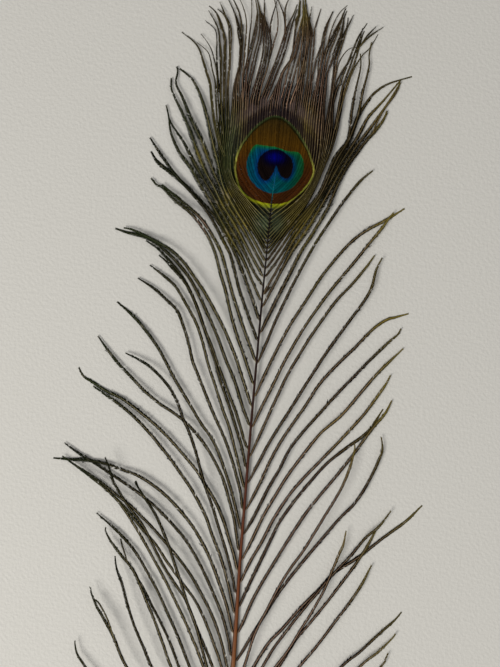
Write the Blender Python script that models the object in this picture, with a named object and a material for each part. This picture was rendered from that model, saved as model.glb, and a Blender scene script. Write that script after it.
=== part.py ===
"""A peacock's eyed tail feather, lying on its back on a flat surface.

The row frame: +Y runs from the quill to the crest, +Z is up and the feather's
show side, and the origin is on the flat underside of the shaft where the bare
quill ends and the vane begins.  Every length below is in millimetres and is
turned into metres where the mesh is made.
"""

import math

import bmesh
import bpy
from mathutils import Vector

MM = 0.001

# ---------------------------------------------------------------- the shaft
# Rows of (y, x of the middle, width, height, height of the underside).
SHAFT = (
    (-38.0, 0.0, 1.5, 1.4, 0.70),
    (-36.6, 0.0, 2.5, 2.3, 0.20),
    (-34.0, 0.0, 3.1, 2.9, 0.0),
    (-18.0, 0.0, 3.4, 3.2, 0.0),
    (0.0, 0.0, 3.3, 3.1, 0.0),
    (30.0, 0.0, 3.1, 2.9, 0.0),
    (60.0, 0.0, 2.9, 2.7, 0.0),
    (90.0, 0.0, 2.7, 2.5, 0.0),
    (120.0, 0.0, 2.5, 2.3, 0.0),
    (150.0, -0.4, 2.0, 2.0, 0.0),
    (174.0, -0.8, 1.65, 1.8, 0.12),
    (200.0, -0.8, 1.5, 1.65, 0.55),
    (220.0, -0.8, 1.4, 1.5, 1.0),
    (239.0, -0.78, 1.3, 1.4, 1.5),
    (260.0, -0.65, 1.2, 1.3, 2.0),
    (280.0, -0.5, 1.1, 1.2, 2.45),
    (304.0, -0.3, 1.0, 1.1, 2.9),
    (322.0, 0.0, 0.85, 1.0, 3.2),
    (338.0, 0.25, 0.7, 0.95, 3.4),
    (352.0, 0.5, 0.6, 0.9, 3.5),
    (364.0, 1.2, 0.5, 0.85, 3.55),
    (370.0, 1.56, 0.4, 0.8, 3.6),
)
# The shaft's section, as shares of its half width and of its height.
SHAFT_SECTION = (
    (-0.62, 0.0), (0.62, 0.0), (0.93, 0.2), (1.0, 0.5),
    (0.8, 0.84), (0.3, 1.0), (-0.3, 1.0), (-0.8, 0.84), (-1.0, 0.5), (-0.93, 0.2),
)

# ---------------------------------------------------- the web round the eye
# The edge of the close web of barbs, run round once from its foot on the shaft.
WEB_EDGE = (
    (0.3, 315.0), (5.5, 320.5), (10.5, 328.0), (15.0, 336.0), (19.0, 344.5), (22.2, 353.0),
    (24.2, 361.0), (25.8, 369.0), (28.2, 377.0), (30.2, 385.0), (31.0, 393.0), (30.6, 401.0),
    (28.6, 407.5), (25.2, 411.5), (21.8, 413.5), (17.6, 414.5), (13.6, 416.0), (10.0, 417.5),
    (6.4, 417.0), (2.6, 413.5), (-0.8, 409.5), (-4.0, 408.0), (-7.2, 410.0), (-10.0, 412.5),
    (-13.2, 415.5), (-16.8, 417.0), (-20.4, 415.5), (-22.8, 409.0), (-24.6, 402.0), (-27.6, 404.5),
    (-30.6, 402.5), (-31.6, 394.0), (-30.8, 385.0), (-29.2, 376.5), (-28.6, 368.5), (-29.2, 360.0),
    (-28.6, 352.0), (-25.4, 345.0), (-21.0, 338.0), (-16.0, 331.0), (-10.5, 324.5), (-5.0, 318.8),
)
WEB_THICKNESS = 0.7
WEB_RINGS = (1.0, 0.85, 0.5)
EYE_MIDDLE = (0.4, 373.0)

# ------------------------------------------------------------- the barbs
# Each barb or lock: (width, where it starts, arch, height of its tip, then the
# points it runs through from root to tip).  One that starts at a ROOT leaves
# the shaft or the web, and one that starts at a FORK leaves the barb beneath it.
ROOT = "root"
FORK = "fork"

LEFT_BARBS = (
    (1.5, ROOT, 1.0, 1.2, (0, 2), (-6, 6), (-12, 12), (-16, 20), (-19, 28)),
    (1.5, ROOT, 1.6, 1.6, (0, 7), (-6, 12), (-14, 19), (-20, 29), (-24, 40)),
    (1.5, ROOT, 2.0, 2.0, (0, 12), (-5, 19), (-13, 27), (-21, 38), (-27, 51), (-31, 63)),
    (1.5, ROOT, 3.0, 2.6, (0, 19), (-4, 30), (-12, 45), (-25, 62), (-42, 81), (-60, 99), (-74.1, 115),
     (-78.1, 120), (-79.7, 124.4), (-80, 126.6)),
    (1.5, ROOT, 3.0, 1.6, (0, 26), (-4, 36), (-12, 50), (-23, 64), (-36, 77), (-47, 86), (-55, 91)),
    (1.7, ROOT, 3.6, 4.4, (0, 33), (-3.5, 44), (-10, 58), (-20, 75), (-35, 96), (-52.2, 116.3),
     (-60.6, 131.3), (-66.9, 140.6), (-70, 145), (-73.1, 150.9), (-74.1, 154.4)),
    (1.5, ROOT, 3.2, 4.6, (0, 43), (-4, 55), (-11, 71), (-20, 87), (-30, 102.5), (-39.7, 116.9),
     (-45, 126.9), (-50.6, 137.5), (-54.7, 147.5), (-58.1, 156.6), (-61.6, 164.4), (-63.1, 170.9)),
    (1.6, ROOT, 2.0, 2.4, (0, 52), (-4.5, 66), (-12, 83), (-21, 101), (-31.3, 118.8), (-35.9, 129.4),
     (-40.9, 140), (-49.1, 156.3), (-53.8, 164.4), (-59.4, 170.3), (-65.3, 176.9), (-68.8, 182.2),
     (-69.1, 184.4)),
    (1.4, ROOT, 4.2, 2.6, (0, 58), (-4, 71), (-10, 86), (-18, 102.5), (-26.3, 118.1), (-31.9, 130),
     (-38.8, 141.9), (-42.5, 147.5), (-46.9, 154.4), (-53.0, 163.3)),
    (1.6, ROOT, 1.4, 0.9, (0, 65), (-3.5, 78), (-9, 92), (-15.5, 106), (-22.2, 119.1), (-28.4, 131.9),
     (-34.4, 143.1), (-40.6, 154.1), (-46.9, 163.8), (-53.1, 172.5), (-60, 179.7), (-66.3, 185),
     (-74.4, 190.9)),
    (1.6, ROOT, 0.8, 1.6, (0, 75), (-3, 87), (-8, 102), (-15, 119.1), (-22.8, 135), (-28.8, 145.6),
     (-37.5, 160.3), (-43.8, 170), (-50.9, 180.8), (-57.9, 190.5), (-63.5, 197.3), (-69.1, 202.3),
     (-74.4, 206.1), (-83.1, 211.7), (-93.8, 218.1)),
    (1.6, ROOT, 4.6, 5.6, (0, 79), (-3, 92), (-8, 107), (-12.8, 119.4), (-16.3, 130), (-20, 140.6),
     (-25, 151.3), (-28.8, 160.6), (-32.5, 169.4), (-36.5, 178.5), (-41.2, 187.9), (-45.6, 195.2),
     (-50.9, 202), (-55.9, 208.6)),
    (1.5, ROOT, 3.2, 6.0, (0, 86), (-2.2, 96), (-6, 109), (-10, 119.4), (-15.3, 130.6), (-21.3, 142.5),
     (-26.3, 152.5), (-31.9, 160), (-38.4, 168.8), (-45.3, 179.9), (-50.6, 188.2), (-56.2, 194.6),
     (-60.3, 199.4), (-63.8, 204.1), (-66.8, 208.5), (-69, 214.1), (-71.8, 219.8)),
    (1.5, ROOT, 1.0, 2.6, (0, 97), (-2, 106), (-5.9, 119.4), (-10.6, 130.6), (-16.3, 142.5),
     (-21.9, 151.9), (-28.8, 160), (-36.3, 168.8), (-43.8, 178.5), (-50.3, 184.6), (-58.2, 192.9),
     (-63.8, 198.5), (-67, 200.8)),
    (1.6, ROOT, 1.6, 3.0, (0, 107), (-1.2, 113), (-3.1, 120), (-6.9, 131.9), (-12.5, 144.4),
     (-21.9, 160), (-29.4, 169.7), (-36.9, 177.8), (-44.4, 185.2), (-51.2, 191.1), (-58.2, 197),
     (-65.3, 201.4), (-72.6, 206.4), (-82, 211.9), (-89.7, 215.9)),
    (1.7, ROOT, 1.2, 0.8, (0, 122), (-1.9, 126.3), (-3.4, 133.1), (-8.1, 146.3), (-16.3, 161.9),
     (-22.5, 172.5), (-28.8, 181.3), (-35, 187.5), (-42.6, 194.4), (-50, 199.9), (-59.1, 205.7),
     (-68.8, 211.1), (-78.1, 216.3), (-85.6, 220), (-93.4, 224.7)),
    (1.8, ROOT, 2.4, 0.0, (0, 133.5), (-1.9, 137.8), (-5.6, 150), (-10.6, 161.9), (-16.9, 175),
     (-23.1, 185), (-29.4, 192.5), (-37.5, 200.3), (-45.6, 206.3), (-55, 211.3), (-65, 214.1),
     (-73.8, 216.3), (-83.1, 216.9), (-90, 216.6), (-98.4, 216.6)),
    (1.8, ROOT, 2.0, 0.8, (0, 143), (-1.9, 147.5), (-5.6, 160.6), (-10.6, 173.8), (-15.9, 185),
     (-20, 194.4), (-26.9, 205.6), (-35, 215.6), (-43.8, 225.6), (-52.5, 234.4), (-61.3, 241.9),
     (-69.4, 247.5), (-76.3, 251.3), (-81.3, 254.1)),
    (1.6, ROOT, 4.4, 1.4, (0, 153.5), (-2.2, 158.1), (-4.1, 165.6), (-8.8, 179.4), (-12.5, 188.8),
     (-16.3, 198.8), (-21.3, 210), (-24.1, 217.5), (-26.9, 225.6), (-30.6, 234.4), (-34.4, 241.3),
     (-38.1, 249.4), (-41.9, 255.6), (-47.5, 261.6), (-53.8, 266.6), (-60, 269.7), (-66.3, 272.1)),
    (1.8, ROOT, 1.6, 0.0, (0, 164), (-1.9, 168.4), (-3.8, 174.4), (-6.3, 181.3), (-10.6, 192.5),
     (-15.6, 201.9), (-20.6, 208.8), (-26.3, 216.3), (-33.8, 224.1), (-40.9, 230.9), (-48.8, 237.5),
     (-56.3, 242.8), (-65.6, 248.8), (-75, 252.5), (-81.9, 256.3), (-86.6, 258.8), (-89.4, 262.8)),
    (1.7, ROOT, 1.8, 0.8, (0, 174.5), (-2, 178.8), (-3.6, 186), (-5.6, 194), (-8.1, 201.3),
     (-11.9, 211.9), (-16.3, 220), (-21.3, 227.5), (-27.5, 234.7), (-33.8, 240.3), (-40, 244.4),
     (-46.9, 248.1), (-55, 253.8), (-62.5, 260.3), (-68.8, 265.9), (-75, 272.5), (-80.9, 279.4)),
    (1.7, ROOT, 2.2, 0.0, (0, 184), (-1.7, 188.5), (-3.4, 193.8), (-7.5, 206.3), (-12.5, 218.8),
     (-18.8, 231.3), (-25.6, 240), (-31.2, 247.9), (-35.9, 254.4), (-40.6, 261.2), (-44.9, 268),
     (-50, 275.6), (-56.3, 283.1), (-63.1, 290), (-72.7, 297.3)),
    (1.7, ROOT, 2.4, 0.8, (0, 194.5), (-1.7, 199), (-3.8, 208.8), (-8.8, 223.1), (-13.8, 234.4),
     (-19.4, 244.4), (-23.5, 252.4), (-28.5, 262.6), (-32.1, 270), (-34.7, 278.2), (-37.9, 286.5),
     (-42.1, 295), (-47.5, 300), (-53.8, 305), (-63.1, 310)),
    (1.6, ROOT, 1.8, 0.8, (0, 205), (-1.6, 209.4), (-3.4, 214.4), (-7.5, 227.5), (-11.9, 240),
     (-15.6, 248.2), (-20.6, 260.6), (-25, 271.2), (-28.8, 282.1), (-32.9, 291.2), (-38.5, 299.7),
     (-43.8, 307.1), (-49.1, 311.4), (-57.7, 317.1)),
    (1.7, ROOT, 1.2, 1.6, (0, 215), (-1.6, 219.4), (-5, 231.3), (-8.5, 240), (-12.1, 248.8),
     (-17.4, 261.2), (-21.5, 272.1), (-25.9, 282.4), (-29.7, 291.8), (-33.5, 300), (-37.6, 307.6),
     (-41.7, 313.2), (-47.3, 319.1), (-53.8, 325.2), (-60.5, 329.1)),
    (1.6, ROOT, 3.6, 0.9, (0, 224.5), (-1.5, 229), (-3.8, 234), (-6, 240), (-10, 249.7), (-15.6, 261.5),
     (-20, 270.9), (-23.5, 279.2), (-28.2, 288.5), (-32.1, 297.1), (-35.9, 304.8), (-40.2, 310.8),
     (-44.4, 314.8), (-49.6, 319.6), (-53.5, 322.4)),
    (1.8, ROOT, 2.0, 0.0, (0, 236), (-1.5, 240.7), (-5.6, 249.7), (-10.9, 262.9), (-16.2, 273.2),
     (-21.2, 284.1), (-26.5, 294.4), (-31.8, 303.5), (-37.6, 312.3), (-43.5, 318.8), (-49.4, 323.8),
     (-56.1, 328.6), (-62.5, 331.2), (-70.6, 332.6), (-76.6, 334.1)),
    (1.8, ROOT, 3.0, 1.2, (0, 246), (-1.2, 250), (-4.7, 259.1), (-10, 271.8), (-15, 282.4),
     (-20.9, 292.9), (-28.2, 304.1), (-35.3, 313.2), (-41.4, 320.2), (-48.2, 325.5), (-56.1, 329.3),
     (-62.5, 332), (-68.1, 334.1), (-72.2, 334.7)),
    (1.8, ROOT, 1.4, 0.9, (0, 256), (-0.9, 260.6), (-6.2, 273.5), (-11.2, 285), (-15.3, 296.2),
     (-18.8, 307.4), (-22.3, 316.4), (-25.5, 325.5), (-29.9, 333.8), (-34.9, 340.2), (-40.8, 345.7),
     (-47.9, 350.5), (-54.4, 356.3), (-57.5, 357.5), (-60.6, 360.6)),
    (1.9, ROOT, 2.4, 1.6, (0, 268), (-0.9, 272.4), (-4.4, 280.6), (-10, 293.2), (-15.3, 306.2),
     (-19.4, 317.6), (-22.6, 326.1), (-27.3, 333.8), (-32, 340.2), (-37, 344.9), (-44.4, 350.2),
     (-51.5, 355.2), (-54.7, 357.7)),
    (1.7, ROOT, 1.2, 0.9, (0, 279), (-0.9, 283.2), (-6.8, 296.2), (-12.1, 308.5), (-17.6, 324.4),
     (-21.9, 331.9), (-28.1, 341.9), (-33.8, 348.8), (-40.6, 355.6), (-49.4, 364.1), (-56.2, 372.4),
     (-60, 377.2), (-62.8, 380.9)),
    (2.0, ROOT, 0.8, 0.0, (0, 289), (-0.9, 293.5), (-5.9, 305.9), (-11.2, 317.4), (-15, 325),
     (-20, 333.6), (-27.3, 343.8), (-34.6, 350.9), (-42.2, 357.6), (-50.4, 363.8), (-58.1, 369.1),
     (-61.9, 374.1)),
    (1.8, ROOT, 0.6, 0.9, (0, 299), (-0.6, 303), (-6.2, 313.5), (-12.1, 324.7), (-17, 332), (-23, 341),
     (-29.1, 350), (-35.3, 358.5), (-41.5, 367.6), (-47.4, 374.6), (-52.4, 383.8), (-54.4, 392.6),
     (-55.9, 397.6)),
    (1.8, ROOT, 0.9, 1.2, (0, 307), (-0.6, 311), (-5, 317.1), (-8.8, 323.5), (-14, 332), (-21, 342),
     (-28.5, 353.8), (-34.1, 361.8), (-40.9, 372.1), (-46.2, 380.2), (-52.1, 387.9), (-54.2, 391.5)),
    (2.0, ROOT, 0.6, 0.9, (0, 313), (-4.5, 321), (-10, 329.5), (-17, 340), (-23.2, 349.1),
     (-28.5, 358.2), (-34.1, 366.5), (-38.8, 376.1), (-42.6, 384.6), (-47.4, 393.8), (-52.1, 402),
     (-54.1, 406.4), (-54.6, 411.4)),
    (2.0, ROOT, 0.8, 0.9, (0, 318), (-4, 326), (-9, 334), (-15, 344), (-20.5, 354), (-26.5, 363.2),
     (-32.1, 371.5), (-36.8, 381.4), (-42.4, 390.8), (-48.1, 401.9), (-51.9, 408.8), (-51.6, 415),
     (-52.2, 417.5)),
    (1.5, ROOT, 1.0, 0.0, (0, 324), (-4, 332), (-9, 342), (-15, 352), (-21.8, 361.5), (-27.4, 370.6),
     (-31.2, 380.8), (-33.8, 389.4), (-36.5, 397.3), (-40, 405.5), (-43.8, 411.3), (-47.4, 414.5),
     (-50.6, 416.6)),
)

RIGHT_BARBS = (
    (1.5, ROOT, 1.0, 1.2, (0, 0), (5, 4), (11, 9), (15, 17), (17, 25)),
    (1.5, ROOT, 1.6, 1.6, (0, 5), (6, 10), (13, 17), (18, 27), (21, 37)),
    (1.5, ROOT, 2.0, 2.0, (0, 10), (6, 17), (14, 27), (20, 40), (25, 54)),
    (1.5, ROOT, 3.2, 1.6, (0, 16), (6, 30), (18, 50), (36, 76), (56, 103), (74, 126), (75.6, 129.4),
     (76.9, 132.5)),
    (1.5, ROOT, 2.6, 1.6, (0, 26), (6, 40), (16, 57), (31, 80), (47, 104), (63, 125), (71.9, 133.1),
     (78.1, 140), (79.7, 142.6)),
    (1.6, ROOT, 3.0, 0.0, (0, 34), (5, 46), (13, 62), (25, 83), (39, 105), (54, 124.3), (62.5, 131.9),
     (71.3, 141.3), (78.8, 148.8), (82.2, 153.2)),
    (1.4, ROOT, 1.6, 0.9, (0, 44), (6, 58), (16, 74), (29, 89), (43, 101), (51, 106)),
    (1.4, ROOT, 2.2, 0.9, (0, 52), (5, 65), (13, 81), (24, 97), (36, 110), (44, 116), (47, 118)),
    (1.6, ROOT, 2.6, 1.6, (0, 61), (6, 76), (14, 92), (23, 108), (32.5, 122.7), (40, 133.1),
     (47.5, 144.4), (54.4, 155), (60.6, 165.6), (65, 176)),
    (1.6, ROOT, 1.4, 0.9, (0, 74), (6, 89), (14, 106), (23, 122), (30, 135.6), (36.3, 144.4),
     (43.8, 155), (50.6, 165.6), (56.9, 175.6), (61.6, 183.8), (65.3, 191.9), (66.9, 195.6)),
    (1.5, ROOT, 3.4, 3.0, (0, 78), (5, 91), (12, 106.5), (20.5, 121.5), (26.9, 131.9), (31.9, 141.9),
     (36.9, 151.3), (41.9, 161.9), (45.6, 173.1), (48.1, 180.6), (50, 185.6), (50.9, 192.3)),
    (1.6, ROOT, 2.6, 2.6, (0, 88), (5, 101), (14.5, 121), (19.4, 131.3), (26.3, 142.5), (33.8, 153.8),
     (38.8, 160.5), (43, 166.5), (48, 173), (53.8, 180), (60.6, 189.4), (66.9, 195.6), (72.4, 204)),
    (1.7, ROOT, 1.0, 0.0, (0, 96), (4, 107), (10.3, 120.6), (16.5, 132.5), (23.1, 140.6), (30.6, 150.6),
     (38.8, 160.6), (46.3, 170), (58.8, 179.7), (70, 190), (80.6, 198.8), (88.3, 207.4)),
    (1.5, ROOT, 4.4, 4.6, (0, 103), (2.2, 110), (5.3, 120.5), (9.4, 138), (14.5, 151), (19, 162),
     (24, 172), (29, 180), (34.4, 190), (40, 201.2), (46.2, 213.8), (50, 225), (51.6, 233.8),
     (51.3, 236)),
    (1.7, ROOT, 1.6, 1.6, (0, 120), (5, 129.5), (10.6, 141), (20.5, 160), (34, 180), (46.2, 197),
     (54.4, 207), (61.2, 220), (65.3, 231), (65.9, 235), (65, 240.3)),
    (1.7, ROOT, 2.4, 0.9, (0, 133.8), (3.1, 142.5), (6.9, 153.8), (11.9, 165), (19.4, 180),
     (28.1, 196.3), (35, 207), (42.5, 217.5), (51.9, 231.3), (60, 244.4), (65.6, 251.9), (68.7, 258.8)),
    (1.7, ROOT, 1.0, 0.0, (0, 147.5), (3.4, 158), (7.8, 169.4), (13.8, 185), (17.5, 193.8),
     (23.8, 204.4), (30.6, 214.4), (38.8, 225), (47.5, 233.1), (55, 239.4), (60, 245), (64.7, 254)),
    (1.7, ROOT, 2.6, 0.9, (0, 160.9), (3.8, 171.9), (9.4, 183.8), (13.8, 194.4), (20, 206.3),
     (26.9, 216.3), (38.8, 230.6), (48.1, 241.9), (54.4, 250), (60, 258.8), (65, 266.9), (67.1, 271.5)),
    (1.7, ROOT, 2.2, 0.9, (0, 173), (5, 185.6), (9.4, 196.9), (14.4, 207.5), (19.4, 217.5),
     (26.9, 229.4), (34.4, 240), (43.8, 249.7), (51.9, 260.6), (58.8, 270), (66.3, 278.8), (72.2, 285.4)),
    (1.7, ROOT, 2.4, 0.9, (0, 186), (5, 197), (10, 209.4), (15, 220), (19.4, 230.6), (26.3, 241.3),
     (33.8, 251), (41.3, 260.6), (49.4, 270.6), (57.5, 280), (65.6, 288.8), (68.8, 291.9), (70.6, 295.3)),
    (1.7, ROOT, 2.2, 0.0, (0, 198.3), (5.6, 211.3), (10.6, 225), (16.9, 238.1), (25, 251.9),
     (30.6, 262.5), (37.5, 271.9), (48.8, 285), (56.9, 294.4), (63.1, 299.4), (67.5, 300.9),
     (73.7, 303.1)),
    (1.7, ROOT, 2.6, 2.0, (0, 212), (5, 223.8), (10.6, 236.3), (18.1, 250.5), (26.3, 266.3),
     (35, 282.5), (43.8, 296.9), (50.6, 307.5), (54, 315), (55.6, 323.8), (58, 330)),
    (1.6, ROOT, 2.2, 0.9, (0, 225.4), (3.8, 236.3), (9.4, 251.9), (16.3, 270), (25, 286.9), (35.6, 305),
     (42.5, 313.8), (49.4, 323.1), (54.3, 331)),
    (1.7, ROOT, 2.4, 1.8, (0, 240.2), (4.4, 251.9), (9.4, 264.4), (15, 278.1), (23.8, 295.6),
     (33.8, 311.9), (43.8, 326.3), (55.6, 343.1), (60, 350), (62, 353)),
    (1.7, ROOT, 2.2, 0.0, (0, 255.6), (5, 269.4), (12.5, 288.1), (21.3, 305), (30, 320.6), (40.6, 335),
     (49.4, 343.1), (58.8, 349.4), (67.4, 355.6)),
    (1.6, ROOT, 2.0, 1.4, (0, 272.2), (4.4, 285.6), (9.4, 300), (15.6, 315.6), (24.4, 335),
     (30.6, 346.3), (37.5, 358.1), (43.8, 367.2), (49.8, 373.2)),
    (2.2, ROOT, 0.8, 0.9, (0, 287), (5, 300), (11.9, 316.9), (17.5, 330), (23.8, 342.5), (29, 353.1),
     (33, 365), (37.4, 375), (41.2, 381.3), (45, 387.5), (51.3, 396), (53.8, 400.6), (54.7, 403.8)),
    (2.2, ROOT, 0.8, 0.9, (0, 300), (5, 311.9), (12.5, 329.4), (20, 342.5), (26.9, 356.3),
     (32.5, 368.5), (38.8, 381.4), (43.4, 389), (49.4, 398.6), (55.6, 409.4), (60.2, 418.6)),
    (2.0, ROOT, 1.0, 0.0, (0, 307), (6.5, 321), (14, 337), (20.6, 349), (26.4, 360.6), (31.6, 371.6),
     (37, 382), (41.2, 390), (45.6, 399.8), (52.6, 409), (60.2, 419.6)),
    (1.5, ROOT, 0.8, 0.0, (0, 312), (8, 327), (15, 340.6), (21.4, 352.4), (27, 364), (32.8, 376.4),
     (37.3, 388.6), (40, 398.4), (45.6, 409.4), (50, 414.4), (54.4, 417.5), (60, 420), (65.6, 422.2)),
    (1.4, ROOT, 1.0, 0.9, (0, 318), (7, 331), (13.5, 343.4), (20, 355.4), (25.8, 366.4), (31.2, 376.4),
     (36, 386.4), (38.6, 394), (40.4, 402), (41.6, 411.9), (43.1, 420), (43.8, 426.3), (43.4, 431),
     (44.1, 437.5)),
    (1.4, ROOT, 0.8, 1.6, (0, 323), (6.5, 335), (12.5, 346.6), (18.5, 357), (24.4, 367.2),
     (30.2, 377.2), (35.2, 385.6), (36.6, 391), (36.8, 398.3), (37.2, 406.3), (38.1, 413.8),
     (39.6, 424.5), (38.9, 431.2)),
)

CREST = (
    (2.0, ROOT, 0.4, 0.0, (-24.7, 374.1), (-28.5, 382.3), (-31.5, 392), (-33.5, 402), (-35, 410.1),
     (-37.4, 416.3), (-39.7, 422.2), (-41.8, 427.2), (-45, 431), (-51.2, 435.4)),
    (1.8, ROOT, 0.8, 0.6, (-27, 380), (-29.5, 390), (-31, 400), (-32.3, 410.7), (-34.4, 417.2),
     (-35.9, 422.8), (-37.9, 426.6), (-43.2, 430.7)),
    (1.4, ROOT, 1.2, 0.6, (-26.5, 385), (-29, 395), (-30.5, 405), (-31.8, 415.4), (-33.6, 421.6),
     (-36.5, 428.6), (-41.5, 435)),
    (1.4, ROOT, 0.6, 0.0, (-27.4, 396), (-30.5, 410), (-32.1, 419.2), (-32.9, 426.6), (-33.4, 433.4),
     (-34.9, 438.1), (-39.9, 441.9)),
    (2.4, ROOT, 0.6, 0.9, (-26, 385), (-28.5, 400), (-29.8, 414.8), (-30.3, 423.1), (-31.4, 430.1),
     (-32.7, 436.6), (-35.2, 441.9), (-38.7, 446.9)),
    (1.5, ROOT, 0.6, 0.0, (-25, 388), (-26.8, 402), (-27.8, 414), (-28.5, 426), (-29.7, 434.2),
     (-32.4, 442.2), (-35.3, 446.9), (-40.3, 450.7)),
    (1.6, ROOT, 1.2, 0.9, (-24, 390), (-25.6, 402), (-26.6, 414), (-27, 426), (-27.4, 437.2),
     (-28.8, 442.2), (-31.5, 446), (-35, 448.6)),
    (1.0, FORK, 0.0, 0.6, (-28.0, 439.8), (-29.8, 444.4), (-33.4, 451.6)),
    (1.6, ROOT, 0.8, 0.9, (-19.6, 392), (-22.2, 404), (-22.2, 416), (-21.8, 428), (-22.2, 438),
     (-24.4, 444.8), (-27.1, 449.8), (-29.5, 454)),
    (1.8, ROOT, 0.4, 0.0, (-18.8, 396), (-20.4, 408), (-20.5, 420), (-20.4, 432), (-20.9, 441),
     (-23, 447), (-25.6, 452), (-28.0, 455.4)),
    (1.4, ROOT, 1.2, 0.6, (-17.4, 398), (-18.8, 412), (-18.9, 426), (-18.9, 438), (-19.8, 444.8),
     (-21.8, 450.4), (-25, 456.2)),
    (1.4, ROOT, 0.6, 0.0, (-15.8, 398), (-16.8, 412), (-17.1, 424), (-17.1, 436), (-16.8, 446),
     (-18, 458)),
    (3.6, ROOT, 0.8, 0.6, (-13.4, 396), (-13.8, 410), (-12.9, 422), (-12.4, 434), (-12.4, 441),
     (-13.4, 448), (-15.0, 454), (-16.8, 459)),
    (2.6, ROOT, 0.5, 0.9, (-9.2, 400), (-9.4, 412), (-8.4, 422), (-7.4, 431), (-8.6, 438),
     (-10.6, 444.5), (-13.6, 450.5)),
    (0.9, FORK, 0.2, 0.0, (-10.0, 441), (-10.5, 447), (-11.3, 455)),
    (1.4, ROOT, 0.9, 0.0, (-6.4, 402), (-5.8, 412), (-5.2, 421), (-4.4, 429), (-3.7, 436), (-3.3, 442),
     (-4.1, 448), (-6.8, 457)),
    (1.0, FORK, 0.3, 1.0, (-5.1, 421), (-5.9, 429), (-6.9, 437), (-6.8, 444), (-5.4, 451), (-4.2, 457)),
    (2.0, ROOT, 0.6, 0.9, (-5.6, 404), (-5.2, 410), (-3.4, 417), (-1.6, 424), (-0.1, 431), (1.0, 437),
     (2.4, 443), (4.6, 449.4), (6.4, 456)),
    (0.9, FORK, 0.4, 0.0, (0.6, 434), (0.2, 441.9), (-0.9, 447.8), (-2.2, 450.9), (-4.4, 455.6)),
    (0.9, FORK, 0.9, 1.2, (1.0, 437.5), (0.1, 444), (-0.5, 449), (0.2, 453.4), (2.0, 458)),
    (1.6, ROOT, 0.8, 1.4, (-2.6, 403), (-2.2, 411), (-0.4, 418), (2.4, 423), (4.7, 427), (6.2, 433),
     (7, 441)),
    (4.6, ROOT, 0.6, 0.6, (3.4, 402), (5.4, 413), (7.2, 424), (8.4, 434), (8.6, 445), (8, 453),
     (7.6, 461)),
    (3.4, ROOT, 0.6, 0.9, (10.6, 402), (11.4, 413), (12, 424), (12.2, 434), (11.2, 443), (9.4, 452),
     (8.8, 458)),
    (0.9, FORK, 0.2, 0.6, (12.0, 436), (12.1, 445), (12.8, 453)),
    (1.4, ROOT, 0.8, 0.0, (13.2, 402), (14.0, 414), (14.6, 426), (14.9, 436), (15.3, 443), (16.9, 450),
     (18.6, 457)),
    (1.4, ROOT, 0.4, 0.9, (15.6, 402), (16.3, 413), (16.9, 421), (17.8, 428), (19.5, 434), (20.8, 440)),
    (1.5, ROOT, 0.9, 0.9, (17.6, 400), (18.5, 411), (19.8, 422), (20.5, 432), (20.9, 440),
     (22.3, 447.6), (25.3, 455.6)),
    (1.7, ROOT, 0.5, 0.0, (19.6, 398), (20.4, 410), (21, 420), (21.7, 429), (22.8, 438), (24.4, 445),
     (27, 451), (30.6, 455.3)),
    (2.2, ROOT, 0.9, 0.5, (22, 400), (22.4, 411), (22.9, 421), (23.8, 431), (25.9, 438), (27.8, 445),
     (29.4, 451), (30.8, 455.0)),
    (1.4, ROOT, 0.9, 0.0, (23.6, 396), (24.6, 406), (25.4, 416), (26.8, 425), (28.2, 431), (30, 438),
     (31.2, 443), (31.6, 447), (31.3, 451.6)),
    (0.9, FORK, 0.4, 0.6, (30.7, 440.4), (31.8, 444.6), (34, 450.6)),
    (1.3, ROOT, 1.6, 1.9, (25.6, 394), (26.3, 404), (26.9, 415), (28.4, 424.6), (31, 430.3),
     (33.8, 433.1), (37.6, 434.2)),
    (1.3, ROOT, 0.9, 1.6, (26.8, 396), (27.1, 406), (27.9, 414.6), (30, 420.6), (33.2, 426.4),
     (36.3, 431.9)),
    (2.6, ROOT, 0.5, 0.0, (26, 376), (29.0, 387.5), (30.4, 399.4), (31.3, 408.8), (33.1, 417.5),
     (35.3, 425.4), (37.2, 433), (38.8, 440), (41.6, 447.5)),
    (1.4, FORK, 0.9, 0.6, (37.6, 433), (42.4, 439.6), (49.4, 445.6)),
    (1.0, FORK, 0.4, 1.4, (38.6, 434.8), (41.6, 440.2), (45.6, 445.3)),
    (1.0, FORK, 0.3, 0.6, (36.9, 431.2), (38.2, 438), (39.1, 444.4)),
    (1.4, ROOT, 0.9, 0.0, (29.3, 392), (31.2, 402), (33.2, 412), (35.9, 421.9), (39.8, 430),
     (43.6, 434.8), (47.2, 441.9)),
)

SIDE_STRANDS = (
    (0.9, FORK, 0.0, 4.6, (-60.2, 130.6), (-63.1, 137.2), (-65.6, 141.9), (-69.4, 147.2), (-72.4, 149.0)),
    (0.9, FORK, 0.0, 2.4, (-56.6, 167.2), (-58.4, 171.9), (-60, 175.6), (-61.3, 179.4)),
)

# A barb's solid is cut into lengths near SEGMENT, but into FEWEST pieces at least.
SEGMENT = 13.4
FEWEST = 4
# How deep in the web a barb's root may start, and how far its middle rides over the web's.
ROOT_DEPTH = 2.4
RIDE = 0.2
# How far the middle of a fork's first stretch lies above the middle of the barb it leaves.
FORK_LIFT = 0.12
THICKNESS = 0.85
TIP_WIDTH = 0.42
TIP_THICKNESS = 0.36


def along(rows, at, column):
    """The value in one column of rows that are sorted by their first."""
    for before, after in zip(rows, rows[1:]):
        if at <= after[0]:
            share = (at - before[0]) / (after[0] - before[0])
            return before[column] + max(share, 0.0) * (after[column] - before[column])
    return rows[-1][column]


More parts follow.
